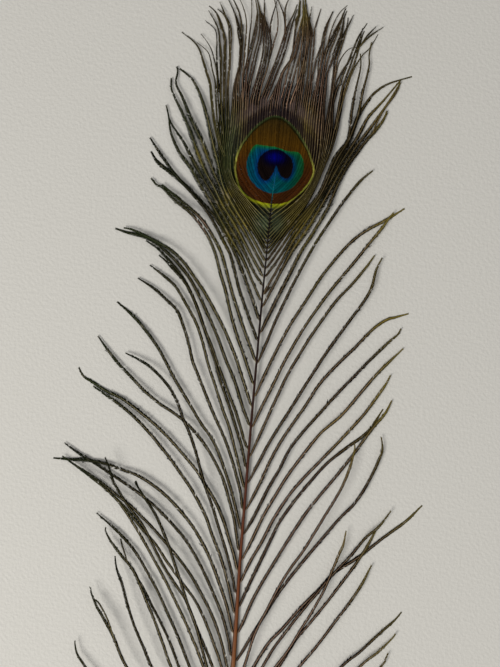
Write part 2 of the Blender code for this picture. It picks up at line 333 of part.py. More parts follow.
def spline(points, t):
    """A point of the smooth curve that runs through the points, t in whole steps."""
    index = min(int(t), len(points) - 2)
    share = t - index
    p1 = Vector(points[index])
    p2 = Vector(points[index + 1])
    p0 = Vector(points[index - 1]) if index else p1 * 2 - p2
    p3 = Vector(points[index + 2]) if index + 2 < len(points) else p2 * 2 - p1
    straight = (p2 - p0) * share
    bend = (p0 * 2 - p1 * 5 + p2 * 4 - p3) * share ** 2
    twist = (p1 * 3 - p0 - p2 * 3 + p3) * share ** 3
    return (p1 * 2 + straight + bend + twist) * 0.5


def even_path(points):
    """The curve through the points, cut into equal lengths."""
    fine = [spline(points, i * 0.05) for i in range((len(points) - 1) * 20 + 1)]
    run = [0.0]
    for a, b in zip(fine, fine[1:]):
        run.append(run[-1] + (b - a).length)
    count = max(FEWEST, round(run[-1] / SEGMENT))
    path = []
    at = 0
    for i in range(count + 1):
        goal = run[-1] * i / count
        while at < len(run) - 2 and run[at + 1] < goal:
            at += 1
        share = (goal - run[at]) / (run[at + 1] - run[at])
        path.append(fine[at].lerp(fine[at + 1], share))
    return path


def web_height(x, y):
    """The height of the middle of the close web: a low dome that sinks to the crest."""
    ridge = along(SHAFT, min(y, 370.0), 4) + 0.45
    dome = 0.0012 * x * x
    sink = 0.0 if y < 385.0 else 0.00055 * (y - 385.0) ** 2
    return max(ridge - dome - sink, 1.2)


def depth_in_web(x, y):
    """How far a point is inside the web's edge, negative outside."""
    inside = False
    nearest = 1e9
    for (ax, ay), (bx, by) in zip(WEB_EDGE, WEB_EDGE[1:] + WEB_EDGE[:1]):
        if (ay > y) != (by > y) and x < ax + (bx - ax) * (y - ay) / (by - ay):
            inside = not inside
        edge = Vector((bx - ax, by - ay))
        share = max(0.0, min(1.0, Vector((x - ax, y - ay)).dot(edge) / edge.length_squared))
        nearest = min(nearest, math.hypot(x - ax - edge.x * share, y - ay - edge.y * share))
    return nearest if inside else -nearest


def root_height(x, y):
    """The height of a root: half way up the shaft, or in the web."""
    if depth_in_web(x, y) > 0.0:
        return web_height(x, y)
    return along(SHAFT, y, 4) + 0.55 * along(SHAFT, y, 3)


def foot_of_fork(x, y, courses):
    """The point of the barb courses that is nearest to x, y in plan."""
    nearest = 1e9
    foot = None
    for a, b in courses:
        run = (b - a).xy
        share = max(0.0, min(1.0, (Vector((x, y)) - a.xy).dot(run) / run.length_squared))
        passing = a.lerp(b, share)
        gap = math.hypot(passing.x - x, passing.y - y)
        if gap < nearest:
            nearest = gap
            foot = passing
    return foot


def without_hidden_root(points):
    """The points from the last one that is deep in the web, which hides all before it."""
    first = 0
    while depth_in_web(*points[first + 1]) > ROOT_DEPTH:
        first += 1
    return points[first:]


def barb_heights(path, first, arch, tip):
    """The height of the barb's middle at each point, held to the web where it is inside it."""
    heights = []
    for i, point in enumerate(path):
        share = i / (len(path) - 1)
        free = first + (tip + 0.5 * TIP_THICKNESS - first) * share + 4.0 * arch * share * (1.0 - share)
        hold = max(0.0, min(1.0, depth_in_web(*point) / 4.0 + 0.5))
        heights.append(free + (web_height(*point) + RIDE - free) * hold)
    return heights


def add_ring(mesh, corners):
    return [mesh.verts.new(Vector(corner) * MM) for corner in corners]


def join_rings(mesh, first, second):
    count = len(first)
    for i in range(count):
        j = (i + 1) % count
        mesh.faces.new((first[i], first[j], second[j], second[i]))


def add_barb(mesh, courses, width, start, arch, tip, *points):
    """A long three-sided lock: flat below, with a ridge along its top."""
    if start == FORK:
        foot = foot_of_fork(*points[0], courses)
        path = even_path([foot.xy, *points[1:]])
        first = foot.z + FORK_LIFT
    else:
        path = even_path(without_hidden_root(points))
        first = root_height(*path[0])
    heights = barb_heights(path, first, arch, tip)
    course = [Vector((point.x, point.y, height)) for point, height in zip(path, heights)]
    courses.extend(zip(course, course[1:]))
    rings = []
    for i, point in enumerate(path):
        share = i / (len(path) - 1)
        ahead = path[min(i + 1, len(path) - 1)] - path[max(i - 1, 0)]
        side = Vector((ahead.y, -ahead.x)).normalized()
        full = min(1.0, 0.75 + 2.5 * share)
        thin = max(0.0, (share - 0.55) / 0.45)
        wide = width * full * (1.0 - thin) + TIP_WIDTH * thin
        thick = THICKNESS * (1.0 - thin) + TIP_THICKNESS * thin
        left = point - side * wide * 0.5
        right = point + side * wide * 0.5
        low = heights[i] - thick * 0.5
        rings.append(add_ring(mesh, (
            (left.x, left.y, low), (right.x, right.y, low), (point.x, point.y, low + thick),
        )))
    for first, second in zip(rings, rings[1:]):
        join_rings(mesh, first, second)
    mesh.faces.new(reversed(rings[0]))
    mesh.faces.new(rings[-1])


def add_shaft(mesh):
    rings = []
    for y, x, width, height, under in SHAFT:
        rings.append(add_ring(mesh, [
            (x + across * width * 0.5, y, under + up * height) for across, up in SHAFT_SECTION
        ]))
    for first, second in zip(rings, rings[1:]):
        join_rings(mesh, first, second)
    mesh.faces.new(reversed(rings[0]))
    mesh.faces.new(rings[-1])


def web_ring(mesh, share, lift):
    corners = []
    for x, y in WEB_EDGE:
        px = EYE_MIDDLE[0] + (x - EYE_MIDDLE[0]) * share
        py = EYE_MIDDLE[1] + (y - EYE_MIDDLE[1]) * share
        corners.append((px, py, web_height(px, py) + lift))
    return add_ring(mesh, corners)


def close_fan(mesh, ring, lift):
    x, y = EYE_MIDDLE
    middle = mesh.verts.new(Vector((x, y, web_height(x, y) + lift)) * MM)
    for i in range(len(ring)):
        mesh.faces.new((ring[i], ring[(i + 1) % len(ring)], middle))


def add_web(mesh):
    """The close web of barbs that carries the eye, as one thin domed sheet."""
    half = WEB_THICKNESS * 0.5
    top = [web_ring(mesh, share, half * (0.6 if share == 1.0 else 1.0)) for share in WEB_RINGS]
    bottom = [web_ring(mesh, share, -half * (0.6 if share == 1.0 else 1.0)) for share in WEB_RINGS]
    join_rings(mesh, bottom[0], top[0])
    for first, second in zip(top, top[1:]):
        join_rings(mesh, first, second)
    for first, second in zip(bottom, bottom[1:]):
        join_rings(mesh, second, first)
    close_fan(mesh, top[-1], half)
    x, y = EYE_MIDDLE
    middle = mesh.verts.new(Vector((x, y, web_height(x, y) - half)) * MM)
    ring = bottom[-1]
    for i in range(len(ring)):
        mesh.faces.new((ring[(i + 1) % len(ring)], ring[i], middle))


def mesh_object(name, build):
    """One mesh object whose faces are turned outwards, made by the given function."""
    mesh = bmesh.new()
    build(mesh)
    bmesh.ops.recalc_face_normals(mesh, faces=mesh.faces)
    bmesh.ops.triangulate(mesh, faces=mesh.faces)
    data = bpy.data.meshes.new(name)
    mesh.to_mesh(data)
    mesh.free()
    made = bpy.data.objects.new(name, data)
    bpy.context.scene.collection.objects.link(made)
    return made


def add_all_barbs(mesh):
    courses = []
    for table in (LEFT_BARBS, RIGHT_BARBS, CREST, SIDE_STRANDS):
        for width, start, arch, tip, *points in table:
            add_barb(mesh, courses, width, start, arch, tip, *points)


def join(target, other, own_overlaps):
    """Fuses the other object into the target and hides it."""
    union = target.modifiers.new("join_" + other.name, "BOOLEAN")
    union.operation = "UNION"
    union.solver = "EXACT"
    union.use_self = own_overlaps
    union.object = other
    other.hide_render = True
    other.hide_set(True)


def vane_material():
    material = bpy.data.materials.new("barb_brown")
    material.use_nodes = True
    shader = material.node_tree.nodes["Principled BSDF"]
    shader.inputs["Base Color"].default_value = (0.075, 0.06, 0.025, 1.0)
    shader.inputs["Metallic"].default_value = 0.1
    shader.inputs["Roughness"].default_value = 0.45
    return material


def main():
    for old in list(bpy.data.objects):
        bpy.data.objects.remove(old, do_unlink=True)
    feather = mesh_object("feather", add_shaft)
    web = mesh_object("web", add_web)
    barbs = mesh_object("barbs", add_all_barbs)
    join(feather, web, False)
    join(feather, barbs, True)
    feather.data.materials.append(vane_material())
    feather.data.shade_smooth()


main()
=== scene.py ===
"""The looks of a peacock's eyed tail feather, made round its solid.

Every barb is real geometry: a thin ramus with a row of small closed barbule blades
along each of its sides.  Loose barbs leave the shaft one by one, locks of barbs make
the shoulders, and close barbs run through the eyespot into the strands of the crest.
Lengths are in millimetres in the feather's own frame, with +Y from the quill to the
crest and +Z up, and are turned into metres where a mesh is made.
"""

import math
from collections import namedtuple

import bpy
import numpy as np
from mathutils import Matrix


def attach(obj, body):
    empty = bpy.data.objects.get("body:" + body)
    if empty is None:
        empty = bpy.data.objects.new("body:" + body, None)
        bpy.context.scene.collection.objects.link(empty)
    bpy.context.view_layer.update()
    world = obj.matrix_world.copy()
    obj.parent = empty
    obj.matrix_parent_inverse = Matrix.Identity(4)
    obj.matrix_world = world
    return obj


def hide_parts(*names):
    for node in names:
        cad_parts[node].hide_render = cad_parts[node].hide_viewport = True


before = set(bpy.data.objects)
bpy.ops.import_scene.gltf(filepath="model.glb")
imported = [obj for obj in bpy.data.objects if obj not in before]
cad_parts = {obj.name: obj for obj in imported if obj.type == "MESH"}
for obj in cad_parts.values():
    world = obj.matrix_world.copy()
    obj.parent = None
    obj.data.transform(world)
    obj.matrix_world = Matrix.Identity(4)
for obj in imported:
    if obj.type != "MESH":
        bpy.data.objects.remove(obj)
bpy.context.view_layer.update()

MM = 0.001
BODY = "root"
NODE = "feather"

# ---------------------------------------------------------------- the shaft
# Rows of (y, x of the middle, width, height, height of the underside).
SHAFT = (
    (-38.0, 0.0, 1.5, 1.4, 0.7),
    (-36.6, 0.0, 2.5, 2.3, 0.2),
    (-34.0, 0.0, 3.1, 2.9, 0.0),
    (-18.0, 0.0, 3.4, 3.2, 0.0),
    (0.0, 0.0, 3.3, 3.1, 0.0),
    (30.0, 0.0, 3.1, 2.9, 0.0),
    (60.0, 0.0, 2.9, 2.7, 0.0),
    (90.0, 0.0, 2.7, 2.5, 0.0),
    (120.0, 0.0, 2.5, 2.3, 0.0),
    (150.0, -0.4, 2.0, 2.0, 0.0),
    (174.0, -0.8, 1.65, 1.8, 0.12),
    (200.0, -0.8, 1.5, 1.65, 0.55),
    (220.0, -0.8, 1.4, 1.5, 1.0),
    (239.0, -0.78, 1.3, 1.4, 1.5),
    (260.0, -0.65, 1.2, 1.3, 2.0),
    (280.0, -0.5, 1.1, 1.2, 2.45),
    (304.0, -0.3, 1.0, 1.1, 2.9),
    (322.0, 0.0, 0.85, 1.0, 3.2),
    (338.0, 0.25, 0.7, 0.95, 3.4),
    (352.0, 0.5, 0.6, 0.9, 3.5),
    (364.0, 1.2, 0.5, 0.85, 3.55),
    (370.0, 1.56, 0.4, 0.8, 3.6),
)
# How flat the underside is, and how deep and wide the groove on top, as shares of the section.
UNDERSIDE = 0.86
GROOVE_DEPTH = 0.1
GROOVE_WIDTH = 0.25
SHAFT_SIDES = 20
SHAFT_STEP = 1.0

# ---------------------------------------------------- the web round the eye
# The edge of the close web of barbs, run round once from its foot on the shaft.
WEB_EDGE = (
    (0.3, 315.0), (5.5, 320.5), (10.5, 328.0), (15.0, 336.0), (19.0, 344.5), (22.2, 353.0),
    (24.2, 361.0), (25.8, 369.0), (28.2, 377.0), (30.2, 385.0), (31.0, 393.0), (30.6, 401.0),
    (28.6, 407.5), (25.2, 411.5), (21.8, 413.5), (17.6, 414.5), (13.6, 416.0), (10.0, 417.5),
    (6.4, 417.0), (2.6, 413.5), (-0.8, 409.5), (-4.0, 408.0), (-7.2, 410.0), (-10.0, 412.5),
    (-13.2, 415.5), (-16.8, 417.0), (-20.4, 415.5), (-22.8, 409.0), (-24.6, 402.0), (-27.6, 404.5),
    (-30.6, 402.5), (-31.6, 394.0), (-30.8, 385.0), (-29.2, 376.5), (-28.6, 368.5), (-29.2, 360.0),
    (-28.6, 352.0), (-25.4, 345.0), (-21.0, 338.0), (-16.0, 331.0), (-10.5, 324.5), (-5.0, 318.8),
)
# The web is a low dome: how far it lies over the shaft's underside, how fast it falls off
# to its sides and above this height to the crest, and where it stops falling.
WEB_LIFT = 0.45
WEB_CROWN = 0.0012
WEB_TOP = 385.0
CREST_FALL = 0.00055
WEB_LOWEST = 1.2

# ------------------------------------------------------------- the barbs
# Each barb or lock: (width, arch, height of its tip, then the points it runs through from
# root to tip).  One with FORK before its points leaves the barb beneath it, and the others
# leave the shaft or the web.
FORK = "fork"

LEFT_BARBS = (
    (1.5, 1.0, 1.2, (0, 2), (-6, 6), (-12, 12), (-16, 20), (-19, 28)),
    (1.5, 1.6, 1.6, (0, 7), (-6, 12), (-14, 19), (-20, 29), (-24, 40)),
    (1.5, 2.0, 2.0, (0, 12), (-5, 19), (-13, 27), (-21, 38), (-27, 51), (-31, 63)),
    (1.5, 3.0, 2.6, (0, 19), (-4, 30), (-12, 45), (-25, 62), (-42, 81), (-60, 99), (-74.1, 115),
     (-78.1, 120), (-79.7, 124.4), (-80, 126.6)),
    (1.5, 3.0, 1.6, (0, 26), (-4, 36), (-12, 50), (-23, 64), (-36, 77), (-47, 86), (-55, 91)),
    (1.7, 3.6, 4.4, (0, 33), (-3.5, 44), (-10, 58), (-20, 75), (-35, 96), (-52.2, 116.3), (-60.6, 131.3),
     (-66.9, 140.6), (-70, 145), (-73.1, 150.9), (-74.1, 154.4)),
    (1.5, 3.2, 4.6, (0, 43), (-4, 55), (-11, 71), (-20, 87), (-30, 102.5), (-39.7, 116.9), (-45, 126.9),
     (-50.6, 137.5), (-54.7, 147.5), (-58.1, 156.6), (-61.6, 164.4), (-63.1, 170.9)),
    (1.6, 2.0, 2.4, (0, 52), (-4.5, 66), (-12, 83), (-21, 101), (-31.3, 118.8), (-35.9, 129.4),
     (-40.9, 140), (-49.1, 156.3), (-53.8, 164.4), (-59.4, 170.3), (-65.3, 176.9), (-68.8, 182.2),
     (-69.1, 184.4)),
    (1.4, 4.2, 2.6, (0, 58), (-4, 71), (-10, 86), (-18, 102.5), (-26.3, 118.1), (-31.9, 130),
     (-38.8, 141.9), (-42.5, 147.5), (-46.9, 154.4), (-53.0, 163.3)),
    (1.6, 1.4, 0.9, (0, 65), (-3.5, 78), (-9, 92), (-15.5, 106), (-22.2, 119.1), (-28.4, 131.9),
     (-34.4, 143.1), (-40.6, 154.1), (-46.9, 163.8), (-53.1, 172.5), (-60, 179.7), (-66.3, 185),
     (-74.4, 190.9)),
    (1.6, 0.8, 1.6, (0, 75), (-3, 87), (-8, 102), (-15, 119.1), (-22.8, 135), (-28.8, 145.6),
     (-37.5, 160.3), (-43.8, 170), (-50.9, 180.8), (-57.9, 190.5), (-63.5, 197.3), (-69.1, 202.3),
     (-74.4, 206.1), (-83.1, 211.7), (-93.8, 218.1)),
    (1.6, 4.6, 5.6, (0, 79), (-3, 92), (-8, 107), (-12.8, 119.4), (-16.3, 130), (-20, 140.6),
     (-25, 151.3), (-28.8, 160.6), (-32.5, 169.4), (-36.5, 178.5), (-41.2, 187.9), (-45.6, 195.2),
     (-50.9, 202), (-55.9, 208.6)),
    (1.5, 3.2, 6.0, (0, 86), (-2.2, 96), (-6, 109), (-10, 119.4), (-15.3, 130.6), (-21.3, 142.5),
     (-26.3, 152.5), (-31.9, 160), (-38.4, 168.8), (-45.3, 179.9), (-50.6, 188.2), (-56.2, 194.6),
     (-60.3, 199.4), (-63.8, 204.1), (-66.8, 208.5), (-69, 214.1), (-71.8, 219.8)),
    (1.5, 1.0, 2.6, (0, 97), (-2, 106), (-5.9, 119.4), (-10.6, 130.6), (-16.3, 142.5), (-21.9, 151.9),
     (-28.8, 160), (-36.3, 168.8), (-43.8, 178.5), (-50.3, 184.6), (-58.2, 192.9), (-63.8, 198.5),
     (-67, 200.8)),
    (1.6, 1.6, 3.0, (0, 107), (-1.2, 113), (-3.1, 120), (-6.9, 131.9), (-12.5, 144.4), (-21.9, 160),
     (-29.4, 169.7), (-36.9, 177.8), (-44.4, 185.2), (-51.2, 191.1), (-58.2, 197), (-65.3, 201.4),
     (-72.6, 206.4), (-82, 211.9), (-89.7, 215.9)),
    (1.7, 1.2, 0.8, (0, 122), (-1.9, 126.3), (-3.4, 133.1), (-8.1, 146.3), (-16.3, 161.9), (-22.5, 172.5),
     (-28.8, 181.3), (-35, 187.5), (-42.6, 194.4), (-50, 199.9), (-59.1, 205.7), (-68.8, 211.1),
     (-78.1, 216.3), (-85.6, 220), (-93.4, 224.7)),
    (1.8, 2.4, 0.0, (0, 133.5), (-1.9, 137.8), (-5.6, 150), (-10.6, 161.9), (-16.9, 175), (-23.1, 185),
     (-29.4, 192.5), (-37.5, 200.3), (-45.6, 206.3), (-55, 211.3), (-65, 214.1), (-73.8, 216.3),
     (-83.1, 216.9), (-90, 216.6), (-98.4, 216.6)),
    (1.8, 2.0, 0.8, (0, 143), (-1.9, 147.5), (-5.6, 160.6), (-10.6, 173.8), (-15.9, 185), (-20, 194.4),
     (-26.9, 205.6), (-35, 215.6), (-43.8, 225.6), (-52.5, 234.4), (-61.3, 241.9), (-69.4, 247.5),
     (-76.3, 251.3), (-81.3, 254.1)),
    (1.6, 4.4, 1.4, (0, 153.5), (-2.2, 158.1), (-4.1, 165.6), (-8.8, 179.4), (-12.5, 188.8),
     (-16.3, 198.8), (-21.3, 210), (-24.1, 217.5), (-26.9, 225.6), (-30.6, 234.4), (-34.4, 241.3),
     (-38.1, 249.4), (-41.9, 255.6), (-47.5, 261.6), (-53.8, 266.6), (-60, 269.7), (-66.3, 272.1)),
    (1.8, 1.6, 0.0, (0, 164), (-1.9, 168.4), (-3.8, 174.4), (-6.3, 181.3), (-10.6, 192.5), (-15.6, 201.9),
     (-20.6, 208.8), (-26.3, 216.3), (-33.8, 224.1), (-40.9, 230.9), (-48.8, 237.5), (-56.3, 242.8),
     (-65.6, 248.8), (-75, 252.5), (-81.9, 256.3), (-86.6, 258.8), (-89.4, 262.8)),
    (1.7, 1.8, 0.8, (0, 174.5), (-2, 178.8), (-3.6, 186), (-5.6, 194), (-8.1, 201.3), (-11.9, 211.9),
     (-16.3, 220), (-21.3, 227.5), (-27.5, 234.7), (-33.8, 240.3), (-40, 244.4), (-46.9, 248.1),
     (-55, 253.8), (-62.5, 260.3), (-68.8, 265.9), (-75, 272.5), (-80.9, 279.4)),
    (1.7, 2.2, 0.0, (0, 184), (-1.7, 188.5), (-3.4, 193.8), (-7.5, 206.3), (-12.5, 218.8), (-18.8, 231.3),
     (-25.6, 240), (-31.2, 247.9), (-35.9, 254.4), (-40.6, 261.2), (-44.9, 268), (-50, 275.6),
     (-56.3, 283.1), (-63.1, 290), (-72.7, 297.3)),
    (1.7, 2.4, 0.8, (0, 194.5), (-1.7, 199), (-3.8, 208.8), (-8.8, 223.1), (-13.8, 234.4), (-19.4, 244.4),
     (-23.5, 252.4), (-28.5, 262.6), (-32.1, 270), (-34.7, 278.2), (-37.9, 286.5), (-42.1, 295),
     (-47.5, 300), (-53.8, 305), (-63.1, 310)),
    (1.6, 1.8, 0.8, (0, 205), (-1.6, 209.4), (-3.4, 214.4), (-7.5, 227.5), (-11.9, 240), (-15.6, 248.2),
     (-20.6, 260.6), (-25, 271.2), (-28.8, 282.1), (-32.9, 291.2), (-38.5, 299.7), (-43.8, 307.1),
     (-49.1, 311.4), (-57.7, 317.1)),
    (1.7, 1.2, 1.6, (0, 215), (-1.6, 219.4), (-5, 231.3), (-8.5, 240), (-12.1, 248.8), (-17.4, 261.2),
     (-21.5, 272.1), (-25.9, 282.4), (-29.7, 291.8), (-33.5, 300), (-37.6, 307.6), (-41.7, 313.2),
     (-47.3, 319.1), (-53.8, 325.2), (-60.5, 329.1)),
    (1.6, 3.6, 0.9, (0, 224.5), (-1.5, 229), (-3.8, 234), (-6, 240), (-10, 249.7), (-15.6, 261.5),
     (-20, 270.9), (-23.5, 279.2), (-28.2, 288.5), (-32.1, 297.1), (-35.9, 304.8), (-40.2, 310.8),
     (-44.4, 314.8), (-49.6, 319.6), (-53.5, 322.4)),
    (1.8, 2.0, 0.0, (0, 236), (-1.5, 240.7), (-5.6, 249.7), (-10.9, 262.9), (-16.2, 273.2),
     (-21.2, 284.1), (-26.5, 294.4), (-31.8, 303.5), (-37.6, 312.3), (-43.5, 318.8), (-49.4, 323.8),
     (-56.1, 328.6), (-62.5, 331.2), (-70.6, 332.6), (-76.6, 334.1)),
    (1.8, 3.0, 1.2, (0, 246), (-1.2, 250), (-4.7, 259.1), (-10, 271.8), (-15, 282.4), (-20.9, 292.9),
     (-28.2, 304.1), (-35.3, 313.2), (-41.4, 320.2), (-48.2, 325.5), (-56.1, 329.3), (-62.5, 332),
     (-68.1, 334.1), (-72.2, 334.7)),
    (1.8, 1.4, 0.9, (0, 256), (-0.9, 260.6), (-6.2, 273.5), (-11.2, 285), (-15.3, 296.2), (-18.8, 307.4),
     (-22.3, 316.4), (-25.5, 325.5), (-29.9, 333.8), (-34.9, 340.2), (-40.8, 345.7), (-47.9, 350.5),
     (-54.4, 356.3), (-57.5, 357.5), (-60.6, 360.6)),
    (1.9, 2.4, 1.6, (0, 268), (-0.9, 272.4), (-4.4, 280.6), (-10, 293.2), (-15.3, 306.2), (-19.4, 317.6),
     (-22.6, 326.1), (-27.3, 333.8), (-32, 340.2), (-37, 344.9), (-44.4, 350.2), (-51.5, 355.2),
     (-54.7, 357.7)),
    (1.7, 1.2, 0.9, (0, 279), (-0.9, 283.2), (-6.8, 296.2), (-12.1, 308.5), (-17.6, 324.4),
     (-21.9, 331.9), (-28.1, 341.9), (-33.8, 348.8), (-40.6, 355.6), (-49.4, 364.1), (-56.2, 372.4),
     (-60, 377.2), (-62.8, 380.9)),
    (2.0, 0.8, 0.0, (0, 289), (-0.9, 293.5), (-5.9, 305.9), (-11.2, 317.4), (-15, 325), (-20, 333.6),
     (-27.3, 343.8), (-34.6, 350.9), (-42.2, 357.6), (-50.4, 363.8), (-58.1, 369.1), (-61.9, 374.1)),
    (2.2, 0.6, 0.9, (0, 299), (-0.6, 303), (-6.2, 313.5), (-12.1, 324.7), (-17, 332), (-23, 341),
     (-29.1, 350), (-35.3, 358.5), (-41.5, 367.6), (-47.4, 374.6), (-52.4, 383.8), (-54.4, 392.6),
     (-55.9, 397.6)),
    (2.3, 0.9, 1.2, (0, 307), (-0.6, 311), (-5, 317.1), (-8.8, 323.5), (-14, 332), (-21, 342),
     (-28.5, 353.8), (-34.1, 361.8), (-40.9, 372.1), (-46.2, 380.2), (-52.1, 387.9), (-54.2, 391.5)),
    (2.4, 0.6, 0.9, (0, 314.4), (-4.2, 321), (-9.8, 329.8), (-16.6, 340), (-23.4, 349.6), (-28.6, 358.2),
     (-34.1, 366.5), (-38.8, 376.1), (-42.6, 384.6), (-47.4, 393.8), (-52.1, 402), (-54.1, 406.4),
     (-54.6, 411.4)),
    (2.4, 0.8, 0.9, (0, 319), (-4.5, 326), (-10, 334.6), (-17.4, 345), (-21, 350), (-26.2, 360),
     (-29.4, 366), (-32.2, 371.5), (-36.8, 381.4), (-42.4, 390.8), (-48.1, 401.9), (-51.9, 408.8),
     (-51.6, 415), (-52.2, 417.5)),
    (2.4, 1.0, 0.0, (0, 323), (-4.6, 330), (-11.2, 340), (-18.4, 350), (-24.4, 360), (-27.8, 370.6),
     (-31.2, 380.8), (-33.8, 389.4), (-36.5, 397.3), (-40, 405.5), (-43.8, 411.3), (-47.4, 414.5),
     (-50.6, 416.6)),
    (1.0, 0.2, 3.0, FORK, (-50.3, 201.8), (-52.8, 203.8), (-54.6, 206.2), (-56.1, 208.9)),
)

